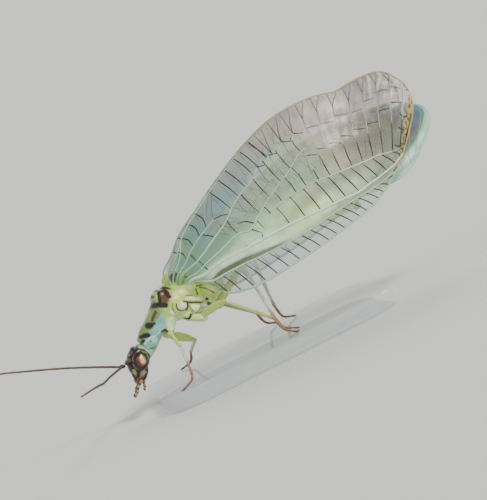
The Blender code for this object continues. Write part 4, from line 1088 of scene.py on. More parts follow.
RIM_BORDER = (  # where the gold band of the outer rim begins: share across, share along
    (0.0, 0.940), (0.15, 0.928), (0.22, 0.941), (0.34, 0.952), (0.45, 0.965), (0.59, 0.982), (0.78, 0.988),
    (1.0, 0.992),
)
SHINE_BORDER = (  # how far the hindwing's bright outer band of painted sheen reaches: share along, share across
    (0.70, 0.10), (0.76, 0.15), (0.83, 0.22), (0.89, 0.27), (0.93, 0.31), (0.962, 0.43), (0.985, 0.66),
    (1.0, 0.90),
)
TIP_FOLD_HIGHLIGHTS = (  # painted highlights along folds of the film near the tip, in shares
    ((1.0, 0.967), (0.946, 0.779), (0.925, 0.662), (0.917, 0.552)),
    ((0.968, 0.615), (0.956, 0.508), (0.965, 0.405)),
    ((0.909, 0.997), (0.885, 0.860), (0.874, 0.742)),
    ((0.952, 0.997), (0.914, 0.863), (0.900, 0.790)),
)


def ridge(shares, corners, width):
    """1 on a bent line in the wing's shares, falling to 0 at the width along the wing."""
    corners = np.array(corners)[::-1]
    centre = np.interp(shares[..., 1], corners[:, 1], corners[:, 0])
    across = shares[..., 1]
    inside = ease((across - corners[0, 1]) / 0.05) * ease((corners[-1, 1] + 0.03 - across) / 0.03)
    return (1.0 - ease(np.abs(shares[..., 0] - centre) / width)) * inside


def forewing_paint(wing, points, shares, cloud, tint, veil):
    """The painted shadow just behind the subcosta, the bright band behind the front field with its painted
    sheen, painted highlights along the folds near the tip, and the gold, spotted rim.
    """
    along, across = shares[:, :1, 0], shares[:1, :, 1]
    front, back = (wing.at(name, along.ravel())[:, None] for name in ("sub", "radius"))
    breadth = np.interp(along, (0.06, 0.14, 0.24, 0.42), (0.03, 0.082, 0.070, 0.030))
    # A painted shadow: a dark strip in the film just behind the subcosta.
    gap = ease((across - front) / 0.014) * ease((front + breadth - across) / 0.014)
    gap = gap * ease((along - 0.06) / 0.04) * ease((0.44 - along) / 0.10) * (0.85 + 0.3 * cloud).clip(0, 1)
    tint = mix(tint, (0.022, 0.040, 0.022), 0.95 * gap)
    veil = veil + (0.82 - veil) * gap
    # The pale band between subcosta and radius: the veins' pale colour with a painted sheen over it.
    grain = 0.5 + 0.5 * np.sin(2 * math.pi * 62.0 * (across - back) + 2.0 * cloud)
    bundle_and_sheen = ease((across - front - breadth) / 0.012) * ease((back + 0.060 - across) / 0.05)
    bundle_and_sheen = bundle_and_sheen * (0.75 + 0.25 * grain) * ease((along - 0.04) / 0.08)
    bundle_and_sheen = bundle_and_sheen * (1.0 - 0.80 * ease((along - 0.36) / 0.12)) * ease((0.80 - along) / 0.1)
    tint = mix(tint, (0.66, 0.90, 0.64), 0.85 * bundle_and_sheen)
    veil = veil + (0.86 - veil) * 0.85 * bundle_and_sheen
    # Pale lines of painted highlight along the folds near the tip.
    for fold_highlight in TIP_FOLD_HIGHLIGHTS:
        fold = ridge(shares, fold_highlight, 0.007)
        tint = mix(tint, (0.80, 0.76, 0.66), 0.8 * fold)
        veil = veil + (0.75 - veil) * 0.8 * fold
    border = np.interp(across, *np.array(RIM_BORDER).T)
    rim = ease((along - border) / 0.006) * ease((0.97 - across) / 0.10)
    spots = ease((ripple(points, 20.0, SEED + 4) - 0.05) / 0.20)
    gold = mix((0.50, 0.38, 0.10), (0.62, 0.48, 0.34), ease((across - 0.55) / 0.20))
    tint = mix(tint, mix(gold, (0.035, 0.026, 0.010), 0.9 * spots), 0.92 * rim)
    return tint, veil + (0.90 - veil) * rim


def hindwing_paint(wing, points, shares, cloud, tint, veil):
    """A painted sheen along the outer front edge: a bright band of turquoise, green and rose, with a painted
    highlight of white in its middle.
    """
    along, across = shares[:, :1, 0], shares[:1, :, 1]
    border = np.interp(along, *np.array(SHINE_BORDER).T)
    painted_sheen = ease((border - across) / 0.05) * ease((along - 0.70) / 0.06)
    # Painted sheen: turquoise, a white painted highlight in the band's middle, then green and rose.
    tint = mix(tint, (0.34, 0.76, 0.62), 0.95 * painted_sheen)
    tint = mix(tint, (0.96, 1.0, 0.98), painted_sheen * (1.0 - ease(np.abs(across / border - 0.60) / 0.26)))
    tint = mix(tint, (0.28, 0.72, 0.34), 0.7 * painted_sheen * ease((cloud - 0.05) / 0.25))
    tint = mix(tint, (0.84, 0.66, 0.74),
               0.5 * painted_sheen * ease((0.90 - along) / 0.03) * ease((along - 0.84) / 0.03))
    return tint, veil + (0.88 - veil) * painted_sheen


def membrane(wing, zones, paint, opacity, rows, columns):
    """The wing's film as an open sheet on a grid, rippled between its veins. Its tint is a soft sum of zones,
    one of them a patch of painted reflection, streaked with the painted light and shade of pleats along the
    branches near the tip, with rainbow bands of painted iridescence that drift over it."""
    along = np.linspace(-0.07, 1.0, rows)[:, None]
    across = np.linspace(0.0, 1.0, columns)[None, :]
    points = wing.place(along, across)
    normal = wing.outward(np.clip(along, -0.06, 0.99) + 0 * across, np.clip(across, 0.01, 0.99) + 0 * along)
    inner = np.sin(math.pi * across) * np.clip((1.0 - along) * 12, 0, 1) * np.clip((along + 0.07) * 8, 0, 1)
    waves = 0.014 * np.sin(2 * math.pi * across * 5.0 + 4.0 * along) + 0.010 * ripple(points, 2.4, SEED)
    pleats = ease((along - 0.60) / 0.25) * ease((across - 0.45) / 0.25)
    phase = 2 * math.pi * 33.0 * (along - 0.07 * across**2.2) + 2.5 * ripple(points, 1.1, SEED)
    waves = waves + 0.005 * pleats * np.sin(phase)
    points = points + normal * (waves * inner)[:, :, None]
    shares = np.stack([along + 0 * across, across + 0 * along, 0 * along * across], axis=-1)
    cloud = ripple(points, 1.5, SEED + 1)
    tint = np.zeros(shares.shape) + (0.33, 0.42, 0.33)
    veil = opacity + 0.05 * cloud
    for s, t, wide, high, colour, strength, added in zones:
        cover = strength * near(shares, (s, t, 0.0), (wide, high, 1.0), 0.7) * (1.0 + 0.3 * cloud).clip(0, 1)
        tint = mix(tint, colour, cover)
        veil = veil + added * cover
    # Painted iridescence: bands of reflected colour that drift over the film.
    drift = 0.16 * cloud + 0.08 * ripple(points, 3.5, SEED + 2)
    band = (0.9 * along + 0.5 * across + drift)[:, :, None] + np.array((0.0, 0.36, 0.68))
    rainbow = (0.5 + 0.5 * np.cos(2 * math.pi * band)) * (0.50, 0.60, 0.80)
    tint = 0.84 * tint + 0.16 * rainbow
    # Painted light and shade of the pleats: lighter and darker streaks along the branches near the tip.
    pleat_light_and_shade = ripple(shares * (42.0, 3.0, 0.0), 1.6, SEED + 3) * pleats
    tint = tint * (1.0 + 0.34 * pleat_light_and_shade)[:, :, None]
    veil = veil + 0.10 * pleat_light_and_shade
    tint, veil = paint(wing, points, shares, cloud, tint, veil)
    veil = veil.clip(0.05, 0.92) * (0.40 + 0.60 * ease((along + 0.02) / 0.08))
    return points, np.concatenate([tint, veil[:, :, None]], axis=2)


# Legs and feelers

LEG_LINES = {  # hip end, knee, ankle, middle of the foot, toe
    "fore_left": ((0.24, -0.68, 2.28), (0.24, -2.28, 1.66), (0.12, -3.42, 0.98), (-0.04, -3.66, 0.32),
                  (-0.58, -3.86, 0.07)),
    "fore_right": ((0.16, 0.69, 2.10), (1.40, 1.92, 1.17), (1.06, 2.72, 0.66), (0.88, 2.90, 0.24),
                   (0.42, 3.10, 0.07)),
    "mid_left": ((2.00, -0.72, 2.32), (2.86, -2.72, 2.68), (4.52, -3.00, 1.04), (4.78, -3.10, 0.34),
                 (5.16, -3.26, 0.07)),
    "mid_right": ((2.00, 0.72, 2.32), (2.74, 2.36, 2.60), (4.66, 2.70, 0.96), (4.92, 2.82, 0.30),
                  (5.34, 2.98, 0.07)),
    "hind_left": ((2.86, -0.72, 2.40), (4.52, -1.27, 3.62), (4.72, -1.86, 1.04), (4.92, -2.02, 0.34),
                  (5.42, -2.22, 0.07)),
    "hind_right": ((2.86, 0.72, 2.40), (5.46, 1.27, 3.62), (5.48, 1.80, 0.98), (5.68, 1.98, 0.30),
                   (6.18, 2.18, 0.07)),
}
FEELER_LEFT = (
    (-1.97, -0.19, 1.90),
    (-2.18, -0.30, 1.82),
    (-2.46, -0.46, 1.80),
    (-3.02, -1.10, 1.76),
    (-3.50, -2.20, 1.74),
    (-3.90, -4.20, 1.95),
    (-4.42, -6.70, 2.20),
    (-5.05, -9.40, 2.45),
)
FEELER_RIGHT = (
    (-1.97, 0.17, 1.90),
    (-2.18, 0.25, 1.78),
    (-2.40, 0.32, 1.77),
    (-2.76, 0.45, 1.93),
    (-4.63, 1.00, 2.75),
    (-6.05, 1.30, 3.30),
    (-7.48, 1.60, 3.82),
    (-9.70, 2.05, 4.45),
    (-11.90, 2.58, 4.93),
)


LEG_GIRTHS = {  # radius of the thigh, its swelling, share of the usual shin radius
    "fore_left": (0.068, 0.022, 0.72),
    "fore_right": (0.085, 0.130, 0.72),
    "mid_left": (0.105, 0.080, 0.85),
    "mid_right": (0.105, 0.080, 0.85),
    "hind_left": (0.095, 0.042, 0.90),
    "hind_right": (0.095, 0.042, 0.90),
}


LEG_HAIR, FEELER_HAIR = (0.24, 0.20, 0.11), (0.03, 0.02, 0.012)
FEELER_JOINTS, RINGS_PER_JOINT = 96, 4


def leg_surfaces(shape, hairs, joints, source, colours, girths):
    """Ring joint, thigh, shin, five foot joints, two claws and the pad between them, with their hairs."""
    hip, knee, ankle, foot, toe = (np.array(joint) for joint in joints)
    thigh_tint, shin_tint, foot_tint = colours
    outward = np.array((0.0, math.copysign(1.0, knee[1]), 0.0))

    ahead = unit(knee - hip)
    ring = along_curve((hip - 0.06 * ahead, hip + 0.16 * ahead), 8)
    shape.grid(rod(ring, 0.13 + 0.02 * np.sin(np.linspace(0, math.pi, 8)), 14), thigh_tint)
    share = np.linspace(0.0, 1.0, 26)
    arch = hip + 0.12 * ahead + (knee - hip - 0.12 * ahead) * share[:, None]
    arch = arch + (0.05 * np.sin(math.pi * share))[:, None] * np.array((0.0, 0.0, 1.0))
    thigh = girths[0] + girths[1] * np.sin(math.pi * share**0.85)
    shape.grid(rod(arch, thigh, 14), thigh_tint)
    shape.grid(blob(knee, (1.1 * girths[0],) * 3, 0, 0, 10, 14), mix(thigh_tint, BROWN, 0.25))
    share = np.linspace(0.0, 1.0, 34)
    shin_line = knee + (ankle - knee) * share[:, None] + (0.06 * np.sin(math.pi * share))[:, None] * outward
    shin = girths[2] * (0.078 + 0.024 * np.sin(math.pi * share**0.6) + 0.014 * ease((share - 0.86) / 0.14))
    tints = mix(shin_tint, foot_tint, 0.85 * ease((share - 0.84) / 0.16))
    tints = mix(tints, thigh_tint, 0.5 * ease((0.08 - share) / 0.08))
    shape.grid(rod(shin_line, shin, 12), ringed(tints, 12))
    line = along_curve((ankle, foot, toe), 60)
    stops = (0.0, 0.36, 0.53, 0.68, 0.80, 1.0)
    for number, (start, end) in enumerate(zip(stops[:-1], stops[1:])):
        joint = along_curve(line[int(start * 59): int(end * 59) + 1], 8)
        flare = 0.052 + 0.020 * ease(np.linspace(0.0, 1.0, 8)) - (0.006 * number)
        shape.grid(rod(joint, flare, 10), mix(foot_tint, BROWN, 0.15 + 0.14 * number))
    ahead = unit(toe - foot) * np.array((1.0, 1.0, 0.0))
    across = np.cross(ahead, (0.0, 0.0, 1.0))
    for side in (LEFT, RIGHT):
        claw = toe + np.outer((0.0, 0.06, 0.12, 0.15), ahead)
        claw = claw + np.outer((0.02, 0.05, 0.06, 0.05), side * across)
        claw[:, 2] = toe[2] + np.array((0.0, 0.015, -0.005, -0.055))
        shape.grid(rod(along_curve(claw, 9), np.linspace(0.020, 0.006, 9), 7), BROWN)
    shape.grid(blob(toe + 0.06 * ahead - (0, 0, 0.025), (0.055, 0.045, 0.03), 0, 0, 8, 10), ORANGE_BROWN)

    for path, widths, count, length in (
        (arch, thigh, 90, 0.075),
        (shin_line, shin, 150, 0.060),
        (line, np.full(len(line), 0.055), 110, 0.045),
    ):
        share = source.uniform(0.02, 0.98, count)
        index = share * (len(path) - 1)
        low = index.astype(int)
        part = (index - low)[:, None]
        centre = path[low] * (1 - part) + path[low + 1] * part
        tangent = unit(path[low + 1] - path[low])
        sprinkle(hairs, centre, tangent, 0.96 * widths[low], 0.9, length, source, LEG_HAIR)


def feeler_surfaces(shape, hairs, knots, source):
    """Thick first joint, black second joint, then a whip of about a hundred ringed joints that thins."""
    line = along_curve(knots, 60)
    lengths = np.r_[0.0, np.cumsum(np.linalg.norm(np.diff(line, axis=0), axis=1))]
    scape = along_curve(line[lengths < 0.33], 12)
    shape.grid(rod(scape, 0.080 + 0.022 * np.sin(np.linspace(0.2, math.pi, 12)), 16), (0.050, 0.048, 0.028))
    start, second = np.interp((0.38, 0.50), lengths, np.arange(60)) / 59
    pedicel = along_curve(line, np.linspace(start, second, 8))
    shape.grid(rod(pedicel, 0.072 + 0.016 * np.sin(np.linspace(0, math.pi, 8)), 14), BLACK)
    share = np.linspace(second, 1.0, FEELER_JOINTS * RINGS_PER_JOINT)
    whip = along_curve(line, share)
    phase = (np.arange(len(share)) % RINGS_PER_JOINT) / RINGS_PER_JOINT
    taper = 0.058 - 0.026 * (share - second) / (1.0 - second)
    radii = taper * (0.84 + 0.20 * np.sin(math.pi * np.clip(phase + 0.12, 0, 1)))
    tints = mix((0.075, 0.040, 0.018), (0.19, 0.12, 0.055), (phase < 0.2) * 1.0)
    shape.grid(rod(whip, radii, 8), ringed(tints, 8))
    pick = source.integers(4, len(whip) - 2, 620)
    tangent = unit(whip[pick + 1] - whip[pick])
    sprinkle(hairs, whip[pick], tangent, 0.95 * radii[pick], 1.3, 0.060, source, FEELER_HAIR)


# Settings


class LacewingSizes(bpy.types.PropertyGroup):
    eye_bulge: FloatProperty(name="Eye bulge", description="How far each eye stands out of the head",
                             default=0.00040, unit="LENGTH", precision=6)
    hair_length: FloatProperty(name="Body hair", description="Length of the hairs on the back",
                               default=0.00014, unit="LENGTH", precision=6)
    membrane_rows: IntProperty(name="Film rows", description="Rows of faces along each wing's film",
                               default=280, min=20)
    floor_radius: FloatProperty(name="Floor radius", description="Radius of the studio floor", default=0.60,
                                unit="LENGTH")
    view_distance: FloatProperty(name="Camera distance", description="From the camera to the insect",
                                 default=0.100, unit="LENGTH")


class LacewingColours(bpy.types.PropertyGroup):
    thigh: FloatVectorProperty(name="Thigh", description="Colour of the thighs", subtype="COLOR",
                               default=(0.56, 0.68, 0.16))
    shin: FloatVectorProperty(name="Shin", description="Colour of the shins", subtype="COLOR",
                              default=(0.60, 0.70, 0.50))
    middle_shin: FloatVectorProperty(name="Middle shin", description="Colour of the middle shins",
                                     subtype="COLOR", default=(0.44, 0.48, 0.17))
    foot: FloatVectorProperty(name="Foot", description="Colour of the feet", subtype="COLOR",
                              default=(0.36, 0.17, 0.08))
    eye_copper: FloatVectorProperty(name="Eye", description="Copper of the eye's middle", subtype="COLOR",
                                    default=(0.42, 0.090, 0.022))
    # The eye's gold is a painted highlight beside the copper.
    eye_painted_highlight: FloatVectorProperty(name="Eye gleam", description="Gold beside the copper", subtype="COLOR",
                                  default=(1.0, 0.72, 0.40))
    eye_rim: FloatVectorProperty(name="Eye rim", description="Olive of the eye's rim", subtype="COLOR",
                                 default=(0.016, 0.015, 0.006))
    plate: FloatVectorProperty(name="Plate", description="Tint of the clear plate", subtype="COLOR",
                               default=(0.80, 0.88, 0.88))
    floor: FloatVectorProperty(name="Floor", description="Colour of the studio floor", subtype="COLOR",
                               default=(0.66, 0.66, 0.64))


def sizes():
    return bpy.context.scene.lacewing_sizes


def colours():
    return bpy.context.scene.lacewing_colours


# Operators


class LACEWING_OT_head(bpy.types.Operator):
    """The head's skin, melted from its capsule, face and cheeks, with its painted marks"""

    bl_idname = "lacewing.head"
    bl_label = "Head"

    def execute(self, context):
        points, faces, _ = melted(head_shells(), HEAD_VOXEL, 5)
        shape = Shape()
        shape.add(points, faces, head_colours(points))
        material = cuticle("head_cuticle", 0.36, 6.0, 0.010, Subsurface_Weight=0.06, Subsurface_Scale=0.0002)
        shape.finish("head_skin", "dark_head", material, ("head",), closed=False)
        return {"FINISHED"}


class LACEWING_OT_eyes(bpy.types.Operator):
    """Two compound eyes: ellipsoids that turn from olive at the rim to copper in the middle, with a painted
    highlight of gold beside the copper
    """

    bl_idname = "lacewing.eyes"
    bl_label = "Eyes"

    def execute(self, context):
        material = eye_material()
        marks = (
            (colours().eye_copper, 0.130, (-1.56, 0.88, 1.82), (-1.54, 0.88, 1.62)),
            ((0.16, 0.014, 0.005), 0.070, (-1.64, 0.88, 1.80), (-1.62, 0.88, 1.64)),
            # The gold mark is a painted highlight on the eye.
            (colours().eye_painted_highlight, 0.105, (-1.45, 0.88, 1.79), (-1.44, 0.88, 1.66)),
        )
        for side, word in ((LEFT, "left"), (RIGHT, "right")):
            radii = (EYE_RADII[0], sizes().eye_bulge / MM, EYE_RADII[2])
            grid = blob(EYE_CENTRE * (1.0, side, 1.0), radii, math.degrees(HEAD_LEAN), 0, 60, 90)
            points = grid.reshape(-1, 3)
            flat = (points - EYE_CENTRE * (1.0, side, 1.0)) * (1.0, 0.0, 1.0)
            reach = np.linalg.norm(flat, axis=1) / EYE_RADII[2]
            tint = mix(colours().eye_rim, (0.075, 0.070, 0.030), ease((points[:, 0] + 1.50) / 0.30))
            tint = painted(tint, points, marks, 0.8)
            tint = mix(tint, (0.30, 0.34, 0.20),
                       ease((reach - 0.80) / 0.06) * ease((points[:, 0] + 1.35) / 0.1))
            shape = Shape()
            shape.grid(grid, tint)
            shape.finish("eye_surface_" + word, "copper_eye", material, ("eye_" + word,))
        return {"FINISHED"}


class LACEWING_OT_mouthparts(bpy.types.Operator):
    """Jaws, upper lip and the two pairs of jointed palps"""

    bl_idname = "lacewing.mouthparts"
    bl_label = "Mouthparts"

    def execute(self, context):
        shape = Shape()
        jaw = ((-1.94, 0.24, 0.98), (-2.06, 0.18, 0.82), (-2.02, 0.06, 0.70))
        outer = ((-1.84, 0.24, 0.86), (-2.04, 0.33, 0.70), (-2.20, 0.38, 0.55), (-2.28, 0.34, 0.40),
                 (-2.44, 0.28, 0.28))
        inner = ((-1.74, 0.12, 0.82), (-1.80, 0.18, 0.66), (-1.82, 0.20, 0.50), (-1.90, 0.18, 0.36))
        for side in (LEFT, RIGHT):
            flip = np.array((1.0, side, 1.0))
            fang = rod(along_curve(np.array(jaw) * flip, 12), np.linspace(0.085, 0.025, 12), 10)
            shape.grid(fang, (0.20, 0.07, 0.025))
            for line, widths in ((outer, (0.058, 0.052, 0.050, 0.044)), (inner, (0.052, 0.046, 0.040))):
                line = np.array(line) * flip
                for number, width in enumerate(widths):
                    joint = along_curve(line[number: number + 2], 10)
                    swell = width * (0.82 + 0.30 * np.sin(np.linspace(0.3, 2.8, 10)))
                    tint = mix((0.44, 0.28, 0.14), BLACK, ease((np.linspace(0, 1, 14) - 0.50) / 0.2) * 0.9)
                    shape.grid(rod(joint, swell, 10), tint[:, None].repeat(10, 1))
        shape.grid(blob((-2.02, 0.0, 0.86), (0.10, 0.20, 0.13), 26.7), (0.22, 0.09, 0.04))
        shape.grid(blob((-1.78, 0.0, 0.78), (0.12, 0.16, 0.12), 26.7), (0.50, 0.36, 0.20))
        material = cuticle("mouthpart_cuticle", 0.34, 9.0, 0.006)
        shape.finish("mouthparts", "dark_head", material)
        return {"FINISHED"}


class LACEWING_OT_feelers(bpy.types.Operator):
    """Two feelers of about a hundred ringed joints each, with fine hairs"""

    bl_idname = "lacewing.feelers"
    bl_label = "Feelers"

    def execute(self, context):
        material = cuticle("feeler_cuticle", 0.45, 10.0, 0.006)
        source = np.random.default_rng(SEED)
        hairs = Shape()
        for word, knots in (("left", FEELER_LEFT), ("right", FEELER_RIGHT)):
            shape = Shape()
            feeler_surfaces(shape, hairs, knots, source)
            shape.finish("feeler_" + word, "antenna", material, ("antenna_" + word,))
        hairs.finish("feeler_hairs", "antenna", material)
        return {"FINISHED"}


class LACEWING_OT_trunk(bpy.types.Operator):
    """Neck, fore body, thorax and hip joints as one skin, with its hairs"""

    bl_idname = "lacewing.trunk"
    bl_label = "Neck and thorax"

    def execute(self, context):
        points, faces, normals = melted(trunk_shells(), VOXEL, 4)
        shape = Shape()
        shape.add(points, faces, trunk_colours(points))
        material = cuticle("thorax_cuticle", 0.38, 5.0, 0.012, Subsurface_Weight=0.10,
                           Subsurface_Scale=0.0003)
        shape.finish("thorax_skin", "green_cuticle", material, ("prothorax", "thorax"), closed=False)
        source = np.random.default_rng(SEED + 1)
        upper = np.flatnonzero((normals[:, 2] > -0.2) & (points[:, 0] > -1.0))
        pick = source.choice(upper, 1000, replace=False)
        hairs = Shape()
        lean = normals[pick] + source.normal(size=(1000, 3)) * 0.25 + (0.3, 0.0, 0.0)
        length = sizes().hair_length / MM * source.uniform(0.5, 1.2, 1000)
        hairs.add(*hair_tufts(points[pick], lean, length, HAIR_RADIUS, (0.5, 0.0, -0.2)), (0.26, 0.26, 0.14))
        hairs.finish("thorax_hairs", "green_cuticle", material)
        return {"FINISHED"}


class LACEWING_OT_abdomen(bpy.types.Operator):
    """The abdomen of nine segments with side folds, its painted stripes, painted shade along the lower flank
    among them, and its hairs
    """

    bl_idname = "lacewing.abdomen"
    bl_label = "Abdomen"

    def execute(self, context):
        grid, share, phase, turn = abdomen_grid(260, 64)
        shape = Shape()
        shape.grid(grid, abdomen_colours(grid, share, phase, turn))
        for side in (LEFT, RIGHT):
            shape.grid(blob((10.84, side * 0.17, 4.12), (0.24, 0.17, 0.30)), (0.50, 0.58, 0.26))
        shape.grid(blob((10.76, 0.0, 3.68), (0.22, 0.26, 0.20)), (0.46, 0.54, 0.28))
        material = cuticle("abdomen_cuticle", 0.42, 5.0, 0.012, Subsurface_Weight=0.10,
                           Subsurface_Scale=0.0003)
        shape.finish("abdomen_skin", "green_cuticle", material, ("abdomen",))
        source = np.random.default_rng(SEED + 2)
        rows, columns = source.integers(12, 255, 1500), source.integers(0, 64, 1500)
        roots = grid[rows, columns]
        outward = unit(roots - grid[rows].mean(axis=1))
        hairs = Shape()
        length = 0.10 * source.uniform(0.6, 1.3, 1500)
        hairs.add(*hair_tufts(roots, outward + (0.7, 0.0, 0.0), length, 0.005, (0.8, 0.0, 0.0)),
                  (0.30, 0.34, 0.16))
        hairs.finish("abdomen_hairs", "green_cuticle", material)
        return {"FINISHED"}


def edge_hairs(hairs, wing, names, spacing, length, source):
    """Short hairs along the wing's rim and its main veins, leaning to the tip."""
    lines = [wing.veins[name] for name in names]
    lines += [np.array(((1.0, 0.0), (1.0, 0.5), (1.0, 1.0))), np.array(((0.0, 1.0), (0.5, 1.0), (1.0, 1.0)))]
    for line in lines:
        count = max(6, int(path_length(wing.place(*line.T)) / spacing))
        path = along_curve(line, count)
        points, normal = wing.place(*path.T), wing.outward(*path.T)
        tangent = unit(np.gradient(points, axis=0))
        lean = normal * source.choice((-1.0, 1.0), (count, 1)) + 0.8 * tangent
        lean = lean + 0.4 * source.normal(size=(count, 3))
        lengths = length * source.uniform(0.7, 1.3, count)
        hairs.add(*hair_tufts(points + 0.02 * normal, lean, lengths, HAIR_RADIUS, tangent),
                  (0.08, 0.07, 0.04))


class LACEWING_OT_wings(bpy.types.Operator):
    """Four wings: clear film with drifting rainbow tints of painted iridescence, painted sheen and
    highlights, raised veins and rim hairs
    """

    bl_idname = "lacewing.wings"
    bl_label = "Wings"

    def execute(self, context):
        film = membrane_material(0.24)
        vein = cuticle("vein_cuticle", 0.34, 8.0, 0.005)
        rows = sizes().membrane_rows
        source = np.random.default_rng(SEED + 3)
        hairs = Shape()
        for side, word in ((LEFT, "left"), (RIGHT, "right")):
            fore = Wing(FOREWING, FORE_TIP_BOW, FORE_VEINS, side)
            hind = Wing(HINDWING, HIND_TIP_BOW, HIND_VEINS, side)
            for wing, name, build, zones, paint, veil in (
                (fore, "forewing_", forewing_veins, FORE_ZONES, forewing_paint, 0.42),
                (hind, "hindwing_", hindwing_veins, HIND_ZONES, hindwing_paint, 0.28),
            ):
                sheet = Shape()
                points, tint = membrane(wing, zones, paint, veil, rows, rows // 2)
                sheet.grid(points, tint, wrapped=False)
                sheet.finish(name + "film_" + word, "wing", film, (name + word,), closed=False)
                veins = Shape()
                build(veins, wing)
                veins.finish(name + "veins_" + word, "wing", vein)
            haired = ("front", "radius", "sub", "sector", "cubitus", "middle")
            edge_hairs(hairs, fore, haired, 0.11, 0.07, source)
            edge_hairs(hairs, hind, haired[:2], 0.16, 0.06, source)
        hairs.finish("wing_hairs", "wing", vein)
        return {"FINISHED"}


class LACEWING_OT_legs(bpy.types.Operator):
    """Six legs with thighs, shins, five-jointed feet, claws and hairs"""

    bl_idname = "lacewing.legs"
    bl_label = "Legs"

    def execute(self, context):
        material = cuticle("leg_cuticle", 0.36, 8.0, 0.006, Subsurface_Weight=0.10, Subsurface_Scale=0.0002)
        source = np.random.default_rng(SEED + 4)
        hairs = Shape()
        chosen = colours()
        for name, joints in LEG_LINES.items():
            shape = Shape()
            shin = chosen.middle_shin if name.startswith("mid") else chosen.shin
            tints = [tuple(colour) for colour in (chosen.thigh, shin, chosen.foot)]
            leg_surfaces(shape, hairs, joints, source, tints, LEG_GIRTHS[name])
            shape.finish("leg_" + name, "leg", material, (f"leg_{name}_upper", f"leg_{name}_lower"))
        hairs.finish("leg_hairs", "leg", material)
        return {"FINISHED"}


class LACEWING_OT_plate(bpy.types.Operator):
    """The clear plate keeps its own solid and gets a polished finish"""

    bl_idname = "lacewing.plate"
    bl_label = "Plate"

    def execute(self, context):
        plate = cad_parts["stand_base"]
        plate.data.materials.clear()
        plate.data.materials.append(plate_material(tuple(colours().plate)))
        return {"FINISHED"}


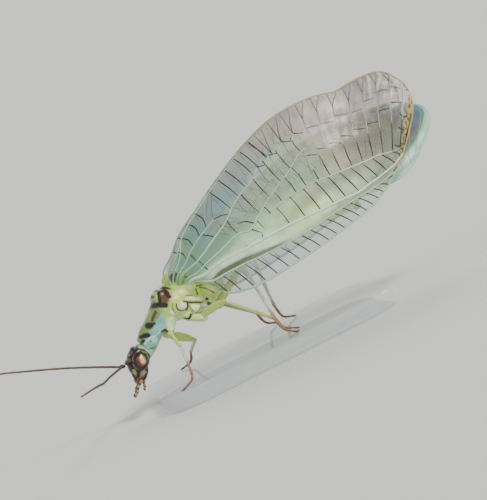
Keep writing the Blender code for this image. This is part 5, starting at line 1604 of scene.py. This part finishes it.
class LACEWING_OT_stage(bpy.types.Operator):
    """Pale floor that curves up all round, soft lamps and the camera"""

    bl_idname = "lacewing.stage"
    bl_label = "Stage"

    def execute(self, context):
        radius = sizes().floor_radius
        ring = np.linspace(0.0, 1.0, 60)
        reach = radius * ring
        rise = radius * 0.55 * ((ring - 0.22).clip(0.0) / 0.78) ** 1.6
        turn = np.linspace(0.0, 2 * math.pi, 96, endpoint=False)
        places = (reach[:, None] * np.cos(turn), reach[:, None] * np.sin(turn), rise[:, None] + 0 * turn)
        grid = np.stack(places, axis=-1)
        mesh = bpy.data.meshes.new("floor")
        mesh.from_pydata(grid.reshape(-1, 3).tolist(), [], grid_faces(60, 96, True).tolist())
        mesh.shade_smooth()
        mesh.materials.append(floor_material(tuple(colours().floor)))
        floor = bpy.data.objects.new("studio_floor", mesh)
        bpy.context.scene.collection.objects.link(floor)
        self.lamps()
        self.camera()
        return {"FINISHED"}

    def lamps(self):
        world = bpy.data.worlds.new("studio")
        world.use_nodes = True
        sky = world.node_tree.nodes["Background"]
        sky.inputs["Color"].default_value = SKY_COLOUR
        sky.inputs["Strength"].default_value = SKY_STRENGTH
        bpy.context.scene.world = world
        for name, place, softness, power, colour in LAMPS:
            lamp = bpy.data.lights.new(name, "SUN")
            lamp.angle = math.radians(softness)
            lamp.energy = power
            lamp.color = colour
            holder = bpy.data.objects.new(name, lamp)
            holder.location = Vector(DATUM) + Vector(place)
            holder.rotation_euler = Vector(place).to_track_quat("Z", "Y").to_euler()
            bpy.context.scene.collection.objects.link(holder)

    def camera(self):
        """Looks at the wings' middle from low on the insect's left, rolled as the photo is."""
        azimuth, elevation, roll = (math.radians(angle) for angle in VIEW_ANGLES)
        target = Vector(DATUM) + Vector(VIEW_TARGET) * MM
        level = math.cos(elevation)
        back = Vector((math.sin(azimuth) * level, -math.cos(azimuth) * level, math.sin(elevation)))
        right = Vector((math.cos(azimuth), math.sin(azimuth), 0.0))
        upward = back.cross(right)
        image_right = math.cos(roll) * right - math.sin(roll) * upward
        image_up = math.sin(roll) * right + math.cos(roll) * upward
        lens = bpy.data.cameras.new("camera")
        view = bpy.data.objects.new("camera", lens)
        turned = Matrix((image_right, image_up, back)).transposed().to_4x4()
        view.matrix_world = Matrix.Translation(target + back * sizes().view_distance) @ turned
        seen_height = PICTURE_HEIGHT / PIXELS_PER_MM * MM
        lens.sensor_fit = "VERTICAL"
        lens.sensor_height = SENSOR_HEIGHT
        lens.lens = SENSOR_HEIGHT * sizes().view_distance / seen_height
        lens.shift_x, lens.shift_y = (shift / PICTURE_HEIGHT for shift in VIEW_SHIFT)
        lens.clip_start, lens.clip_end = 0.001, 10.0
        bpy.context.scene.collection.objects.link(view)
        bpy.context.scene.camera = view


OPERATORS = (
    LACEWING_OT_head,
    LACEWING_OT_eyes,
    LACEWING_OT_mouthparts,
    LACEWING_OT_feelers,
    LACEWING_OT_trunk,
    LACEWING_OT_abdomen,
    LACEWING_OT_wings,
    LACEWING_OT_legs,
    LACEWING_OT_plate,
    LACEWING_OT_stage,
)


class LACEWING_PT_panel(bpy.types.Panel):
    """Lists the builders and the values that they read"""

    bl_label = "Lacewing"
    bl_idname = "LACEWING_PT_panel"
    bl_space_type = "VIEW_3D"
    bl_region_type = "UI"
    bl_category = "Lacewing"

    def draw(self, context):
        for operator in OPERATORS:
            self.layout.operator(operator.bl_idname)
        for group in (context.scene.lacewing_sizes, context.scene.lacewing_colours):
            for name in group.__annotations__:
                self.layout.prop(group, name)


CLASSES = (LacewingSizes, LacewingColours, *OPERATORS, LACEWING_PT_panel)


def register():
    for entry in CLASSES:
        bpy.utils.register_class(entry)
    bpy.types.Scene.lacewing_sizes = PointerProperty(type=LacewingSizes)
    bpy.types.Scene.lacewing_colours = PointerProperty(type=LacewingColours)


def unregister():
    del bpy.types.Scene.lacewing_colours
    del bpy.types.Scene.lacewing_sizes
    for entry in reversed(CLASSES):
        bpy.utils.unregister_class(entry)


def main():
    register()
    for operator in OPERATORS:
        group, name = operator.bl_idname.split(".")
        getattr(getattr(bpy.ops, group), name)()


if __name__ == "__main__":
    main()
